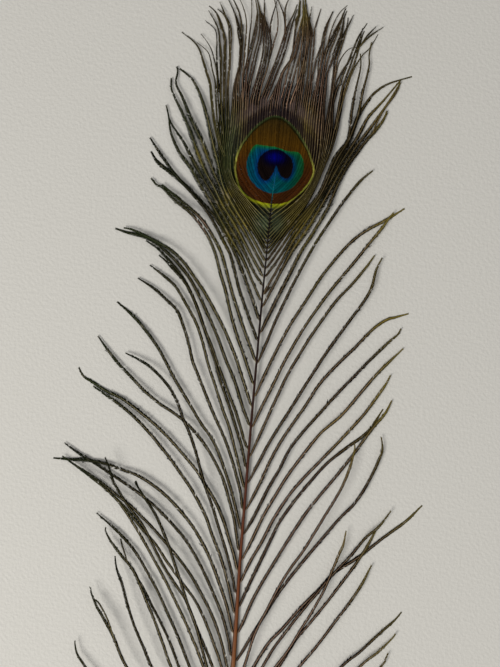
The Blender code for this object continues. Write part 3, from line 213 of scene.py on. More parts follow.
RIGHT_BARBS = (
    (1.5, 1.0, 1.2, (0, 0), (5, 4), (11, 9), (15, 17), (17, 25)),
    (1.5, 1.6, 1.6, (0, 5), (6, 10), (13, 17), (18, 27), (21, 37)),
    (1.5, 2.0, 2.0, (0, 10), (6, 17), (14, 27), (20, 40), (25, 54)),
    (1.5, 3.2, 1.6, (0, 16), (6, 30), (18, 50), (36, 76), (56, 103), (74, 126), (75.6, 129.4),
     (76.9, 132.5)),
    (1.5, 2.6, 1.6, (0, 26), (6, 40), (16, 57), (31, 80), (47, 104), (63, 125), (71.9, 133.1),
     (78.1, 140), (79.7, 142.6)),
    (1.6, 3.0, 0.0, (0, 34), (5, 46), (13, 62), (25, 83), (39, 105), (54, 124.3), (62.5, 131.9),
     (71.3, 141.3), (78.8, 148.8), (82.2, 153.2)),
    (1.4, 1.6, 0.9, (0, 44), (6, 58), (16, 74), (29, 89), (43, 101), (51, 106)),
    (1.4, 2.2, 0.9, (0, 52), (5, 65), (13, 81), (24, 97), (36, 110), (44, 116), (47, 118)),
    (1.6, 2.6, 1.6, (0, 61), (6, 76), (14, 92), (23, 108), (32.5, 122.7), (40, 133.1), (47.5, 144.4),
     (54.4, 155), (60.6, 165.6), (65, 176)),
    (1.6, 1.4, 0.9, (0, 74), (6, 89), (14, 106), (23, 122), (30, 135.6), (36.3, 144.4), (43.8, 155),
     (50.6, 165.6), (56.9, 175.6), (61.6, 183.8), (65.3, 191.9), (66.9, 195.6)),
    (1.5, 3.4, 3.0, (0, 78), (5, 91), (12, 106.5), (20.5, 121.5), (26.9, 131.9), (31.9, 141.9),
     (36.9, 151.3), (41.9, 161.9), (45.6, 173.1), (48.1, 180.6), (50, 185.6), (50.9, 192.3)),
    (1.6, 2.6, 2.6, (0, 88), (5, 101), (14.5, 121), (19.4, 131.3), (26.3, 142.5), (33.8, 153.8),
     (38.8, 160.5), (43, 166.5), (48, 173), (53.8, 180), (60.6, 189.4), (66.9, 195.6), (72.4, 204)),
    (1.7, 1.0, 0.0, (0, 96), (4, 107), (10.3, 120.6), (16.5, 132.5), (23.1, 140.6), (30.6, 150.6),
     (38.8, 160.6), (46.3, 170), (58.8, 179.7), (70, 190), (80.6, 198.8), (88.3, 207.4)),
    (1.5, 4.4, 4.6, (0, 103), (2.2, 110), (5.3, 120.5), (9.4, 138), (14.5, 151), (19, 162), (24, 172),
     (29, 180), (34.4, 190), (40, 201.2), (46.2, 213.8), (50, 225), (51.6, 233.8), (51.3, 236)),
    (1.7, 1.6, 1.6, (0, 120), (5, 129.5), (10.6, 141), (20.5, 160), (34, 180), (46.2, 197), (54.4, 207),
     (61.2, 220), (65.3, 231), (65.9, 235), (65, 240.3)),
    (1.7, 2.4, 0.9, (0, 133.8), (3.1, 142.5), (6.9, 153.8), (11.9, 165), (19.4, 180), (28.1, 196.3),
     (35, 207), (42.5, 217.5), (51.9, 231.3), (60, 244.4), (65.6, 251.9), (68.7, 258.8)),
    (1.7, 1.0, 0.0, (0, 147.5), (3.4, 158), (7.8, 169.4), (13.8, 185), (17.5, 193.8), (23.8, 204.4),
     (30.6, 214.4), (38.8, 225), (47.5, 233.1), (55, 239.4), (60, 245), (64.7, 254)),
    (1.7, 2.6, 0.9, (0, 160.9), (3.8, 171.9), (9.4, 183.8), (13.8, 194.4), (20, 206.3), (26.9, 216.3),
     (38.8, 230.6), (48.1, 241.9), (54.4, 250), (60, 258.8), (65, 266.9), (67.1, 271.5)),
    (1.7, 2.2, 0.9, (0, 173), (5, 185.6), (9.4, 196.9), (14.4, 207.5), (19.4, 217.5), (26.9, 229.4),
     (34.4, 240), (43.8, 249.7), (51.9, 260.6), (58.8, 270), (66.3, 278.8), (72.2, 285.4)),
    (1.7, 2.4, 0.9, (0, 186), (5, 197), (10, 209.4), (15, 220), (19.4, 230.6), (26.3, 241.3), (33.8, 251),
     (41.3, 260.6), (49.4, 270.6), (57.5, 280), (65.6, 288.8), (68.8, 291.9), (70.6, 295.3)),
    (1.7, 2.2, 0.0, (0, 198.3), (5.6, 211.3), (10.6, 225), (16.9, 238.1), (25, 251.9), (30.6, 262.5),
     (37.5, 271.9), (48.8, 285), (56.9, 294.4), (63.1, 299.4), (67.5, 300.9), (73.7, 303.1)),
    (1.7, 2.6, 2.0, (0, 212), (5, 223.8), (10.6, 236.3), (18.1, 250.5), (26.3, 266.3), (35, 282.5),
     (43.8, 296.9), (50.6, 307.5), (54, 315), (55.6, 323.8), (58, 330)),
    (1.6, 2.2, 0.9, (0, 225.4), (3.8, 236.3), (9.4, 251.9), (16.3, 270), (25, 286.9), (35.6, 305),
     (42.5, 313.8), (49.4, 323.1), (54.3, 331)),
    (1.7, 2.4, 1.8, (0, 240.2), (4.4, 251.9), (9.4, 264.4), (15, 278.1), (23.8, 295.6), (33.8, 311.9),
     (43.8, 326.3), (55.6, 343.1), (60, 350), (62, 353)),
    (1.7, 2.2, 0.0, (0, 255.6), (5, 269.4), (12.5, 288.1), (21.3, 305), (30, 320.6), (40.6, 335),
     (49.4, 343.1), (58.8, 349.4), (67.4, 355.6)),
    (1.6, 2.0, 1.4, (0, 272.2), (4.4, 285.6), (9.4, 300), (15.6, 315.6), (24.4, 335), (30.6, 346.3),
     (37.5, 358.1), (43.8, 367.2), (49.8, 373.2)),
    (2.2, 0.8, 0.9, (0, 287), (5, 300), (11.9, 316.9), (17.5, 330), (23.8, 342.5), (29, 353.1), (33, 365),
     (37.4, 375), (41.2, 381.3), (45, 387.5), (51.3, 396), (53.8, 400.6), (54.7, 403.8)),
    (2.2, 0.8, 0.9, (0, 300), (5, 311.9), (12.5, 329.4), (20, 342.5), (26.9, 356.3), (32.5, 368.5),
     (38.8, 381.4), (43.4, 389), (49.4, 398.6), (55.6, 409.4), (60.2, 418.6)),
    (2.0, 1.0, 0.0, (0, 307), (6.5, 321), (14, 337), (20.6, 349), (26.4, 360.6), (31.6, 371.6), (37, 382),
     (41.2, 390), (45.6, 399.8), (52.6, 409), (60.2, 419.6)),
    (1.9, 0.8, 0.0, (0, 315), (4.2, 321.8), (8.8, 330), (14, 340), (20.3, 350), (26, 361), (32.8, 376.4),
     (37.3, 388.6), (40, 398.4), (45.6, 409.4), (50, 414.4), (54.4, 417.5), (60, 420), (65.6, 422.2)),
    (1.8, 1.0, 0.9, (0, 319), (6.6, 330), (12.2, 340), (19.2, 350), (25.2, 360), (31.2, 376.4),
     (36, 386.4), (38.6, 394), (40.4, 402), (41.6, 411.9), (43.1, 420), (43.8, 426.3), (43.4, 431),
     (44.1, 437.5)),
    (1.8, 0.8, 1.6, (0, 323), (4.3, 330), (10.2, 340), (17.8, 350), (24.2, 360), (30.0, 377.2),
     (35.2, 385.6), (36.6, 391), (36.8, 398.3), (37.2, 406.3), (38.1, 413.8), (39.6, 424.5),
     (38.9, 431.2)),
    (1.2, 0.2, 0.6, FORK, (47.5, 392.5), (50.4, 398.6), (53.1, 404.4), (56.3, 409.4), (59.4, 415),
     (60, 419.4)),
    (2.0, 0.1, 3.2, (0, 306.4), (1.5, 308.6), (3.5, 311)),
)

CREST = (
    (2.0, 0.4, 0.0, (-24.7, 374.1), (-28.5, 382.3), (-31.5, 392), (-33.5, 402), (-35, 410.1),
     (-37.4, 416.3), (-39.7, 422.2), (-41.8, 427.2), (-45, 431), (-51.2, 435.4)),
    (1.8, 0.8, 0.6, (-27, 380), (-29.5, 390), (-31, 400), (-32.3, 410.7), (-34.4, 417.2), (-35.9, 422.8),
     (-37.9, 426.6), (-43.2, 430.7)),
    (1.4, 1.2, 0.6, (-26.5, 385), (-29, 395), (-30.5, 405), (-31.8, 415.4), (-33.6, 421.6),
     (-36.5, 428.6), (-41.5, 435)),
    (1.4, 0.6, 0.0, (-27.4, 396), (-30.5, 410), (-32.1, 419.2), (-32.9, 426.6), (-33.4, 433.4),
     (-34.9, 438.1), (-39.9, 441.9)),
    (2.4, 0.6, 0.9, (-26, 385), (-28.5, 400), (-29.8, 414.8), (-30.3, 423.1), (-31.4, 430.1),
     (-32.7, 436.6), (-35.2, 441.9), (-38.7, 446.9)),
    (1.5, 0.6, 0.0, (-25, 388), (-26.8, 402), (-27.8, 414), (-28.5, 426), (-29.7, 434.2), (-32.4, 442.2),
     (-35.3, 446.9), (-40.3, 450.7)),
    (1.6, 1.2, 0.9, (-24, 390), (-25.6, 402), (-26.6, 414), (-27, 426), (-27.4, 437.2), (-28.8, 442.2),
     (-31.5, 446), (-35, 448.6)),
    (1.0, 0.0, 0.6, FORK, (-28.0, 439.8), (-29.8, 444.4), (-33.4, 451.6)),
    (1.6, 0.8, 0.9, (-19.6, 392), (-22.2, 404), (-22.2, 416), (-21.8, 428), (-22.2, 438), (-24.4, 444.8),
     (-27.1, 449.8), (-29.5, 454)),
    (1.8, 0.4, 0.0, (-18.8, 396), (-20.4, 408), (-20.5, 420), (-20.4, 432), (-20.9, 441), (-23, 447),
     (-25.6, 452), (-28.0, 455.4)),
    (1.4, 1.2, 0.6, (-17.4, 398), (-18.8, 412), (-18.9, 426), (-18.9, 438), (-19.8, 444.8),
     (-21.8, 450.4), (-25, 456.2)),
    (1.4, 0.6, 0.0, (-15.8, 398), (-16.8, 412), (-17.1, 424), (-17.1, 436), (-16.8, 446), (-18, 458)),
    (5.2, 0.8, 0.6, (-15.6, 396), (-16, 404), (-15.4, 412), (-14.4, 420), (-13.4, 428), (-12.6, 434),
     (-12.4, 441), (-13.4, 448), (-15.0, 454), (-16.8, 459)),
    (3.4, 0.5, 0.9, (-12.4, 400), (-11.4, 408), (-9.8, 416), (-8.6, 422), (-8, 428), (-8, 433),
     (-8.8, 438), (-10.6, 444.5), (-13.6, 450.5)),
    (0.9, 0.2, 0.0, FORK, (-10.0, 441), (-10.5, 447), (-11.3, 455)),
    (1.4, 0.9, 0.0, (-9.9, 403), (-8.9, 412), (-7.4, 418), (-6.0, 426), (-4.6, 433), (-3.4, 440),
     (-4.1, 448), (-6.8, 457)),
    (1.0, 0.3, 1.0, FORK, (-5.1, 421), (-5.9, 429), (-6.9, 437), (-6.8, 444), (-5.4, 451), (-4.2, 457)),
    (2.4, 0.6, 0.9, (-7.8, 404), (-6.2, 410), (-4.4, 417), (-2.2, 424), (-0.3, 431), (1.0, 437),
     (2.4, 443), (4.6, 449.4), (6.4, 456)),
    (0.9, 0.4, 0.0, FORK, (0.6, 434), (0.2, 441.9), (-0.9, 447.8), (-2.2, 450.9), (-4.4, 455.6)),
    (0.9, 0.9, 1.2, FORK, (1.0, 437.5), (0.1, 444), (-0.5, 449), (0.2, 453.4), (2.0, 458)),
    (1.6, 0.8, 1.4, (-6.0, 403), (-4.2, 408.5), (-2.2, 414), (-0.6, 418.5), (2.0, 423), (4.7, 427),
     (6.2, 433), (7, 441)),
    (5.4, 0.6, 0.6, (3.4, 402), (5.4, 413), (7.2, 424), (8.4, 434), (8.6, 445), (8, 453), (7.6, 461)),
    (4.4, 0.6, 0.9, (10.6, 402), (11.4, 413), (12, 424), (12.2, 434), (11.2, 443), (9.4, 452),
     (8.8, 458)),
    (0.9, 0.2, 0.6, FORK, (12.0, 436), (12.1, 445), (12.8, 453)),
    (1.4, 0.8, 0.0, (14.6, 404), (15.2, 414), (15.4, 426), (15.3, 436), (15.6, 443), (16.9, 450),
     (18.6, 457)),
    (1.4, 0.4, 0.9, (15.6, 402), (16.3, 413), (16.9, 421), (17.8, 428), (19.5, 434), (20.8, 440)),
    (1.5, 0.9, 0.9, (17.6, 400), (18.5, 411), (19.8, 422), (20.5, 432), (20.9, 440), (22.3, 447.6),
     (25.3, 455.6)),
    (1.7, 0.5, 0.0, (19.6, 398), (20.4, 410), (21, 420), (21.7, 429), (22.8, 438), (24.4, 445), (27, 451),
     (30.6, 455.3)),
    (3.0, 0.9, 0.5, (20.4, 400), (20.9, 411), (21.6, 421), (23.2, 431), (25.6, 438), (27.8, 445),
     (29.4, 451), (30.8, 455.0)),
    (1.4, 0.9, 0.0, (25.2, 396), (25.8, 406), (26.2, 416), (27.0, 425), (28.2, 431), (30, 438),
     (31.2, 443), (31.6, 447), (31.3, 451.6)),
    (0.9, 0.4, 0.6, FORK, (30.7, 440.4), (31.8, 444.6), (34, 450.6)),
    (1.3, 1.6, 1.9, (25.6, 394), (26.3, 404), (26.9, 415), (28.4, 424.6), (31, 430.3), (33.8, 433.1),
     (37.6, 434.2)),
    (1.3, 0.9, 1.6, (26.8, 396), (27.1, 406), (27.9, 414.6), (30, 420.6), (33.2, 426.4), (36.3, 431.9)),
    (2.6, 0.5, 0.0, (26, 376), (29.0, 387.5), (30.4, 399.4), (31.3, 408.8), (33.1, 417.5), (35.3, 425.4),
     (37.2, 433), (38.8, 440), (41.6, 447.5)),
    (1.4, 0.9, 0.6, FORK, (37.6, 433), (42.4, 439.6), (49.4, 445.6)),
    (1.0, 0.4, 1.4, FORK, (38.6, 434.8), (41.6, 440.2), (45.6, 445.3)),
    (1.0, 0.3, 0.6, FORK, (36.9, 431.2), (38.2, 438), (39.1, 444.4)),
    (1.4, 0.9, 0.0, (29.3, 392), (31.2, 402), (33.2, 412), (35.9, 421.9), (39.8, 430), (43.6, 434.8),
     (47.2, 441.9)),
)

SIDE_STRANDS = (
    (0.9, 0.0, 4.6, FORK, (-60.2, 130.6), (-63.1, 137.2), (-65.6, 141.9), (-69.4, 147.2), (-72.4, 149.0)),
    (0.9, 0.0, 2.4, FORK, (-56.6, 167.2), (-58.4, 171.9), (-60, 175.6), (-61.3, 179.4)),
)
TABLES = {"left": LEFT_BARBS, "right": RIGHT_BARBS, "crest": CREST, "strands": SIDE_STRANDS}

# How the solid's barbs are laid: how deep in the web a root is hidden, how far up the shaft
# the others start, how far barbs ride over the middle of the web, over how wide a band at
# its edge they come down to it, how high a fork starts over the barb it leaves, how thick a
# tip is, and how low the middle of a barb may lie.
ROOT_DEPTH = 2.4
ROOT_SHARE = 0.55
RIDE = 0.2
HOLD_BAND = 4.0
FORK_LIFT = 0.12
TIP_HALF = 0.18
LOWEST = 0.3

# ---------------------------------------------------- the web's own barbs
# Courses of some barbs of the web, from their root on the shaft up to the crest.  The
# barbs between them are worked out, with so many gaps from each course to the next.
LEFT_GUIDES = (
    ((0, 326.7), (-5.4, 335), (-9, 340), (-16.2, 350), (-22.7, 360), (-26.6, 371), (-28.4, 385),
     (-28.5, 398), (-29.5, 411)),
    ((0, 334.4), (-6.5, 342.2), (-13, 350.5), (-19.5, 358.5), (-23.8, 367), (-25, 377), (-25, 390),
     (-26, 405)),
    ((0.2, 343), (-8, 350), (-14.5, 356.5), (-19.5, 363), (-21.5, 370), (-21.5, 378), (-20.5, 390),
     (-21, 405)),
    ((0.4, 350), (-6, 356), (-11.5, 362), (-15.5, 369), (-17, 377), (-17, 388), (-17.5, 400),
     (-18.5, 412)),
    ((0.7, 356), (-4.5, 361), (-8.5, 366.5), (-11, 374), (-12, 383), (-12.5, 395), (-13, 410)),
    ((1, 362), (-2.5, 366), (-5, 371), (-6.5, 378), (-7, 388), (-7.3, 400), (-7.5, 412)),
    ((1.3, 367), (-0.3, 370.5), (-1.8, 376), (-2.6, 384), (-2.8, 396), (-2.5, 410)),
    ((1.56, 370), (1.2, 376), (0.9, 385), (0.8, 397), (1, 410)),
)
RIGHT_GUIDES = (
    ((0, 326.7), (2.4, 330), (8.8, 340), (15.6, 350), (20.6, 359.5), (24.6, 370.5), (28.2, 381),
     (30.2, 391), (31.2, 400), (33, 412)),
    ((0.2, 334.4), (7, 343), (13.2, 350.6), (18.9, 359), (22.5, 368), (25.2, 379), (26.4, 390),
     (27, 404)),
    ((0.3, 343), (8.8, 350.5), (15.4, 357.5), (19.4, 364.5), (21.4, 371), (22.4, 380), (22.5, 392),
     (22.6, 405)),
    ((0.5, 350), (7, 356), (12.8, 362.5), (17, 370), (18.4, 379), (18.4, 392), (18.8, 405)),
    ((0.8, 356), (6, 361), (10.3, 367), (12.9, 374.5), (13.8, 384), (14, 396), (14.4, 410)),
    ((1.1, 362), (4.7, 366), (7.7, 371.5), (9.2, 379), (9.7, 389), (10, 400), (10.6, 412)),
    ((1.4, 367), (3.4, 370.5), (5, 376), (5.8, 384), (6, 396), (6.2, 410)),
    ((1.56, 370), (1.2, 376), (0.9, 385), (0.8, 397), (1, 410)),
)
GAP_COUNTS = (3, 4, 3, 4, 4, 4, 3)
GUIDE_POINTS = 90
# The least gap, and also the least half width of a barb.
LEAST_GAP = 0.1
# Four numbers for eased: the first and the last value of a measure, and the two heights or
# distances between which it changes.  The share of the gap to the next barb that a barb
# fills, and how much broader the outermost barb of each side is.
CLOSE_SHARE = (0.66, 0.5, 394.0, 404.0)
OUTER_BREADTH = (1.0, 1.8, 375.0, 360.0)
# The half width of the web's lowest barbs at their roots, where the floor shows between them,
# and the stretch of its run over which each barb grows to its full one.
ROOT_HALF_WIDTH = (0.62, 1.25, 330.0, 338.0)
WEB_HALF_WIDTH = 1.25
WEB_GROWTH = (5.0, 18.0)
# Shares that are lost toward a corner of the web, between these heights and between these
# distances from its middle: of the width in the open block on the left, and of the height.
OPEN_BLOCK = (0.34, (380.0, 396.0), (22.0, 26.0))
LOW_CORNERS = (0.35, (378.0, 402.0), (20.0, 27.0))
# How far from GATHER_START each barb changes from the web's barbules to the crest's, how far
# the two overlap, and how far a barb lies over or under the web.
CHANGE_RANGE = (-6.0, 7.0)
CHANGE_OVERLAP = 4.0
WEB_JITTER = (-0.1, 0.12)

# ------------------------------------------------------------- the crest
# Where the web's barbs start to gather into the strands of the crest, how much of that they
# leave to the end, and where it is done.
GATHER_START = 403.0
GATHER_BEND = 3.2
GATHER_END = 448.0
# How much farther apart the barbs stand before they gather, eased over the first stretch, and
# how a strand narrows over the shares of its length.
FAN = (1.0, 1.36, 0.0, 17.0)
SPREAD = (1.0, 0.3, 0.35, 1.0)
# The gathered barbs sink to this share of the strand's height, over this distance.
CREST_SINK = 0.48
SINK_REACH = 16.0
# Neighbours lean together in clumps of two to four: by how much, how many there can be in one,
# as a range without its end, and over what distance.
CLUMP_PULL = 0.22
CLUMP_SIZES = (2, 5)
CLUMP_REACH = 9.0
# A strand's barbs spread over a share of its width, or so far for each barb if that is more.
STRAND_FILL = 0.85
STRAND_SPACING = 1.28
# The half width of such a barb, the distance over which it changes to that, and how it tapers.
STRAND_HALF_WIDTH = 0.44
STRAND_GROWTH = (4.0, 22.0)
STRAND_TAPER = (1.0, 0.5, 0.75, 1.0)
# The share of a strand's length that its barbs keep: every second one, the others, and those
# that don't come from the web, apart from the first.
KEEP_SHORT = (0.72, 1.0)
KEEP_LONG = (0.9, 1.0)
KEEP_OWN = (0.82, 1.0)
# A strand has one barb for each stretch of this width.  Its own ones fill a share of it, and
# lie a little over or under its course.
OWN_BARB_WIDTH = 1.25
OWN_FILL = 0.8
OWN_JITTER = 0.1
# Each barb joins the strand nearest to it at this height, wide strands counting as nearer
# and strands beyond a gap as far off.
CHOICE_HEIGHT = 405.0
STRAND_PULL = 0.8
PARTED = 50.0
# Where the barbs part above the eyespot: rows of (y, x of the gap's middle, its width), and
# how far to each side barbs give way.
PARTINGS = (
    ((384, -30.6, 0), (394, -31.2, 0.7), (405, -31.8, 1.0), (415, -32.2, 1.3), (425, -32.8, 0)),
    ((382, -27.8, 0), (390, -28.0, 0.6), (404, -28.5, 0.9), (414, -28.8, 1.2), (424, -29.5, 1.5),
     (432, -30.0, 1.2), (438, -31, 0)),
    ((386, -25.6, 0), (396, -26.1, 0.5), (410, -26.7, 0.8), (418, -26.9, 1.0), (428, -27.5, 1.1),
     (434, -27.8, 0)),
    ((391, -23.4, 0), (396, -23.7, 0.8), (403, -24.1, 1.5), (410, -24.0, 2.2), (420, -23.0, 3.6),
     (430, -23.4, 4.0), (437, -23.4, 0)),
    ((402, -14.6, 0), (408, -13.6, 0.4), (418, -12.0, 0.7), (426, -11, 0.9), (433, -10.4, 0)),
    ((406, -9.4, 0), (412, -8.0, 0.7), (418, -6.5, 1.0), (428, -5, 1.4), (434, -4.6, 0)),
    ((402, -5.2, 0), (408, -3, 0.5), (414, -1, 0.6), (418, 0, 0.7), (421, 1.3, 0.8), (425, 3.8, 0.6),
     (430, 5.2, 0), (445, 5.6, 0)),
    ((404, 13.3, 0), (410, 14, 0.5), (420, 14.2, 0.6), (430, 14.4, 1.0), (436, 14.5, 1.0),
     (441, 14.4, 0)),
    ((405, 16.4, 0), (412, 17.5, 0.8), (419, 18.2, 1.0), (424, 18.4, 0)),
    ((393, 24.3, 0), (400, 24.3, 1.0), (410, 24.3, 2.4), (420, 24.5, 2.6), (428, 25.6, 0)),
    ((391, 27.9, 0), (396, 28.0, 0.8), (405, 28.2, 1.6), (411, 29.0, 1.4), (415, 29.6, 0)),
)
PARTING_REACH = 3.0

# ------------------------------------------------------------ the eyespot
# The outlines of its colours, one inside the other.
PUPIL = (
    (0.4, 379.6), (3.9, 378.9), (7.1, 376.8), (9.2, 374.3), (9.8, 371.2), (9.2, 367.7), (7.6, 365.5),
    (5.9, 365.4), (4.1, 366.6), (2.6, 368.7), (1.4, 371.5), (0.3, 368.2), (-0.8, 365.8), (-2.2, 363.9),
    (-3.9, 363.5), (-5.7, 364.8), (-7.3, 367.2), (-7.9, 370.2), (-7.6, 373.7), (-5.9, 376.5),
    (-3.0, 378.7),
)
BLUE = (
    (-9.7, 381.0), (-5.5, 381.0), (0.7, 380.6), (4.6, 379.6), (7.5, 379.0), (11.3, 379.0), (13.6, 377.3),
    (15.0, 373.6), (15.2, 369.8), (13.8, 365.8), (10.3, 361.1), (6.3, 358.8), (0.6, 357.4),
    (-3.7, 358.2), (-8.1, 360.6), (-11.5, 364.3), (-13.3, 369.0), (-13.3, 373.2), (-12.0, 377.7),
)
BRONZE = (
    (-0.8, 394.4), (2.7, 393.9), (6.5, 391.3), (11.0, 386.3), (15.3, 380.1), (18.0, 374.6),
    (19.2, 370.8), (18.5, 366.9), (16.1, 362.3), (12.9, 357.9), (8.6, 354.4), (4.2, 352.9), (0.6, 352.6),
    (-4.3, 353.0), (-9.4, 354.7), (-13.8, 358.4), (-16.6, 362.8), (-18.0, 368.6), (-17.8, 374.0),
    (-15.8, 379.6), (-13.1, 384.4), (-10.0, 388.8), (-6.4, 392.0), (-3.8, 393.8),
)
RING = (
    (-1.0, 396.3), (2.9, 395.6), (7.4, 392.7), (12.0, 387.9), (16.5, 381.4), (19.3, 375.1),
    (20.7, 370.6), (20.0, 366.7), (17.5, 361.9), (13.3, 357.3), (8.6, 353.2), (4.5, 351.2), (0.6, 350.0),
    (-4.3, 351.0), (-9.4, 352.9), (-14.3, 356.3), (-17.6, 361.4), (-19.3, 368.1), (-19.0, 374.3),
    (-17.2, 380.2), (-14.0, 385.8), (-10.5, 390.3), (-6.5, 393.9), (-4.0, 395.5),
)
EYE_ZONES = {"ring": RING, "bronze": BRONZE, "blue": BLUE, "pupil": PUPIL}
# The step along an outline once it is made smooth.
OUTLINE_STEP = 0.8

# Patches where the barbs have a tint of their own: (x, y, reach in x, reach in y, strength).
PATCHES = {
    "olive": (
        (-20, 343, 15, 22, 1.0), (-34, 370, 9, 18, 0.7), (20, 344, 13, 20, 0.9), (34, 374, 10, 18, 0.8),
        (-45, 352, 14, 12, 0.8), (30, 318, 18, 24, 0.55), (-30, 316, 16, 22, 0.55),
    ),
    "navy": (
        (0.5, 375.4, 6.4, 4.0, 1.0), (0.9, 373.0, 3.0, 4.0, 0.5),
    ),
    "pink": (
        (20, 140, 30, 60, 0.55), (33, 200, 22, 45, 0.5), (20, 195, 14, 28, 0.6), (45, 255, 16, 20, 0.35),
        (-33, 339, 5, 6, 0.9),
    ),
    "mauve": (
        (2, 410, 16, 18, 0.9), (20, 412, 11, 26, 0.85), (-14, 412, 11, 18, 0.9), (4, 436, 24, 18, 0.75),
    ),
    "gold": (
        (-16, 341, 6, 13, 0.4), (17, 341, 8, 13, 0.65), (-20.5, 332.5, 2.6, 5.5, 1.0),
        (-23, 350, 2.6, 3, 0.9), (-12, 340.5, 2.6, 2.6, 0.8), (-21, 355.5, 2.2, 3, 0.7),
        (68, 298, 12, 14, 0.9), (66, 258, 9, 14, 0.8), (60, 352, 12, 14, 0.6), (44, 245, 14, 14, 0.45),
        (15.4, 393, 3.8, 9, 0.85), (-19, 390, 4, 9, 0.35), (50, 405, 12, 16, 0.45),
        (-37, 374, 4, 5, 0.9), (8.4, 451, 4.5, 11, 0.8), (-15, 455, 3, 8, 0.5),
    ),
    "green": (
        (-58, 330, 26, 14, 0.7), (-46, 365, 14, 22, 0.7), (-85, 217, 16, 12, 0.8),
        (-66, 275, 20, 26, 0.5), (-23, 372, 7, 18, 0.7), (-26, 388, 6, 16, 0.5), (-80, 252, 10, 10, 0.6),
        (8, 454, 5, 10, 0.4), (20, 335, 14, 16, 0.15), (-24, 345, 13, 20, 0.35),
        (-46, 388, 13, 22, 0.75),
    ),
    "slate": (
        (-2.5, 342.5, 4.5, 6, 0.8), (4, 343, 3.4, 5, 0.7), (-20.5, 384, 3.0, 10, 0.5),
    ),
    "dark": (
        (-75, 220, 28, 16, 0.5), (-46, 390, 11, 28, 0.35), (25, 400, 8, 16, 0.4), (37, 376, 9, 15, 0.5),
        (-24, 348, 12, 14, 0.1), (-8, 424, 26, 22, 0.18), (-55, 320, 22, 22, 0.3),
        (20, 372, 6, 14, 0.35), (45, 384, 8, 12, 0.4), (-44, 348, 14, 9, 0.4), (-38, 358, 10, 9, 0.4),
    ),
}


# ---------------------------------------------------------------- curves
# How many pieces a curve has from one given point to the next, and the step along a course.
CURVE_CUTS = 16
COURSE_STEP = 0.5


def spline(points):
    """A fine smooth curve that runs through the points."""
    p = np.array(points, float)
    p = np.vstack((2 * p[0] - p[1], p, 2 * p[-1] - p[-2]))
    t = np.arange(CURVE_CUTS)[:, None] / CURVE_CUTS
    fine = []
    for p0, p1, p2, p3 in zip(p, p[1:], p[2:], p[3:]):
        bend = (2 * p0 - 5 * p1 + 4 * p2 - p3) * t ** 2
        twist = (3 * p1 - p0 - 3 * p2 + p3) * t ** 3
        fine.append(0.5 * (2 * p1 + (p2 - p0) * t + bend + twist))
    fine.append(p[-2:-1])
    return np.vstack(fine)


def run_of(points):
    """How far along the line each of its points is."""
    steps = np.linalg.norm(np.diff(points, axis=0), axis=1)
    return np.concatenate(([0.0], np.cumsum(steps)))


def at_run(points, run, at):
    """The points of a line at the given distances along it."""
    return np.column_stack([np.interp(at, run, column) for column in points.T])


def resample(points, step):
    """The line with even steps, close to the given one and at least four."""
    run = run_of(points)
    count = max(4, round(run[-1] / step))
    return at_run(points, run, np.linspace(0.0, run[-1], count + 1))


def smooth_step(value, low, high):
    """A smooth rise from 0 at low to 1 at high, which may also be the lower one."""
    t = np.clip((value - low) / (high - low), 0.0, 1.0)
    return t * t * (3.0 - 2.0 * t)


def eased(value, first, last, low, high):
    """A measure that goes smoothly from first, where the value is low, to last where it is high."""
    return first + (last - first) * smooth_step(value, low, high)


def swell(rng, at, length, size, step):
    """A smooth random change along a barb, up to the size either way, at the given places."""
    knots = np.arange(0.0, length + 2 * step, step)
    return size * np.interp(at, knots, rng.uniform(-1.0, 1.0, len(knots)))


def signed_depth(points, outline):
    """How far each point is inside a closed outline, negative outside."""
    x = points[:, 0]
    y = points[:, 1]
    inside = np.zeros(len(points), bool)
    nearest = np.full(len(points), np.inf)
    corners = np.array(outline, float)
    for (ax, ay), (bx, by) in zip(corners, np.roll(corners, -1, axis=0)):
        ex = bx - ax
        ey = by - ay
        if ey:
            inside ^= ((ay > y) != (by > y)) & (x < ax + ex * (y - ay) / ey)
        share = np.clip(((x - ax) * ex + (y - ay) * ey) / (ex * ex + ey * ey), 0.0, 1.0)
        nearest = np.minimum(nearest, np.hypot(x - ax - ex * share, y - ay - ey * share))
    return np.where(inside, nearest, -nearest)


def closed_outline(corners):
    """A fine smooth outline through the corners, without its double last point."""
    wrapped = (*corners[-2:], *corners, *corners[:2])
    fine = spline(wrapped)
    return resample(fine[2 * CURVE_CUTS:-CURVE_CUTS - 1], OUTLINE_STEP)[:-1]


# ------------------------------------------------- how high the barbs lie
SHAFT_ROWS = np.array(SHAFT)
QUILL_TIP = SHAFT_ROWS[0, 0]
SHAFT_TIP = SHAFT_ROWS[-1, 0]


def shaft_value(y, column):
    return np.interp(y, SHAFT_ROWS[:, 0], SHAFT_ROWS[:, column])


def web_height(points):
    """The height of the middle of the web: a low dome that sinks to the crest."""
    x = points[:, 0]
    y = points[:, 1]
    ridge = shaft_value(np.minimum(y, SHAFT_TIP), 4) + WEB_LIFT
    fall = CREST_FALL * np.maximum(y - WEB_TOP, 0.0) ** 2
    return np.maximum(ridge - WEB_CROWN * x * x - fall, WEB_LOWEST)


def root_height(point):
    """The height of a root: part of the way up the shaft, or in the web."""
    if signed_depth(point[None], WEB_EDGE)[0] > 0.0:
        return web_height(point[None])[0]
    return shaft_value(point[1], 4) + ROOT_SHARE * shaft_value(point[1], 3)


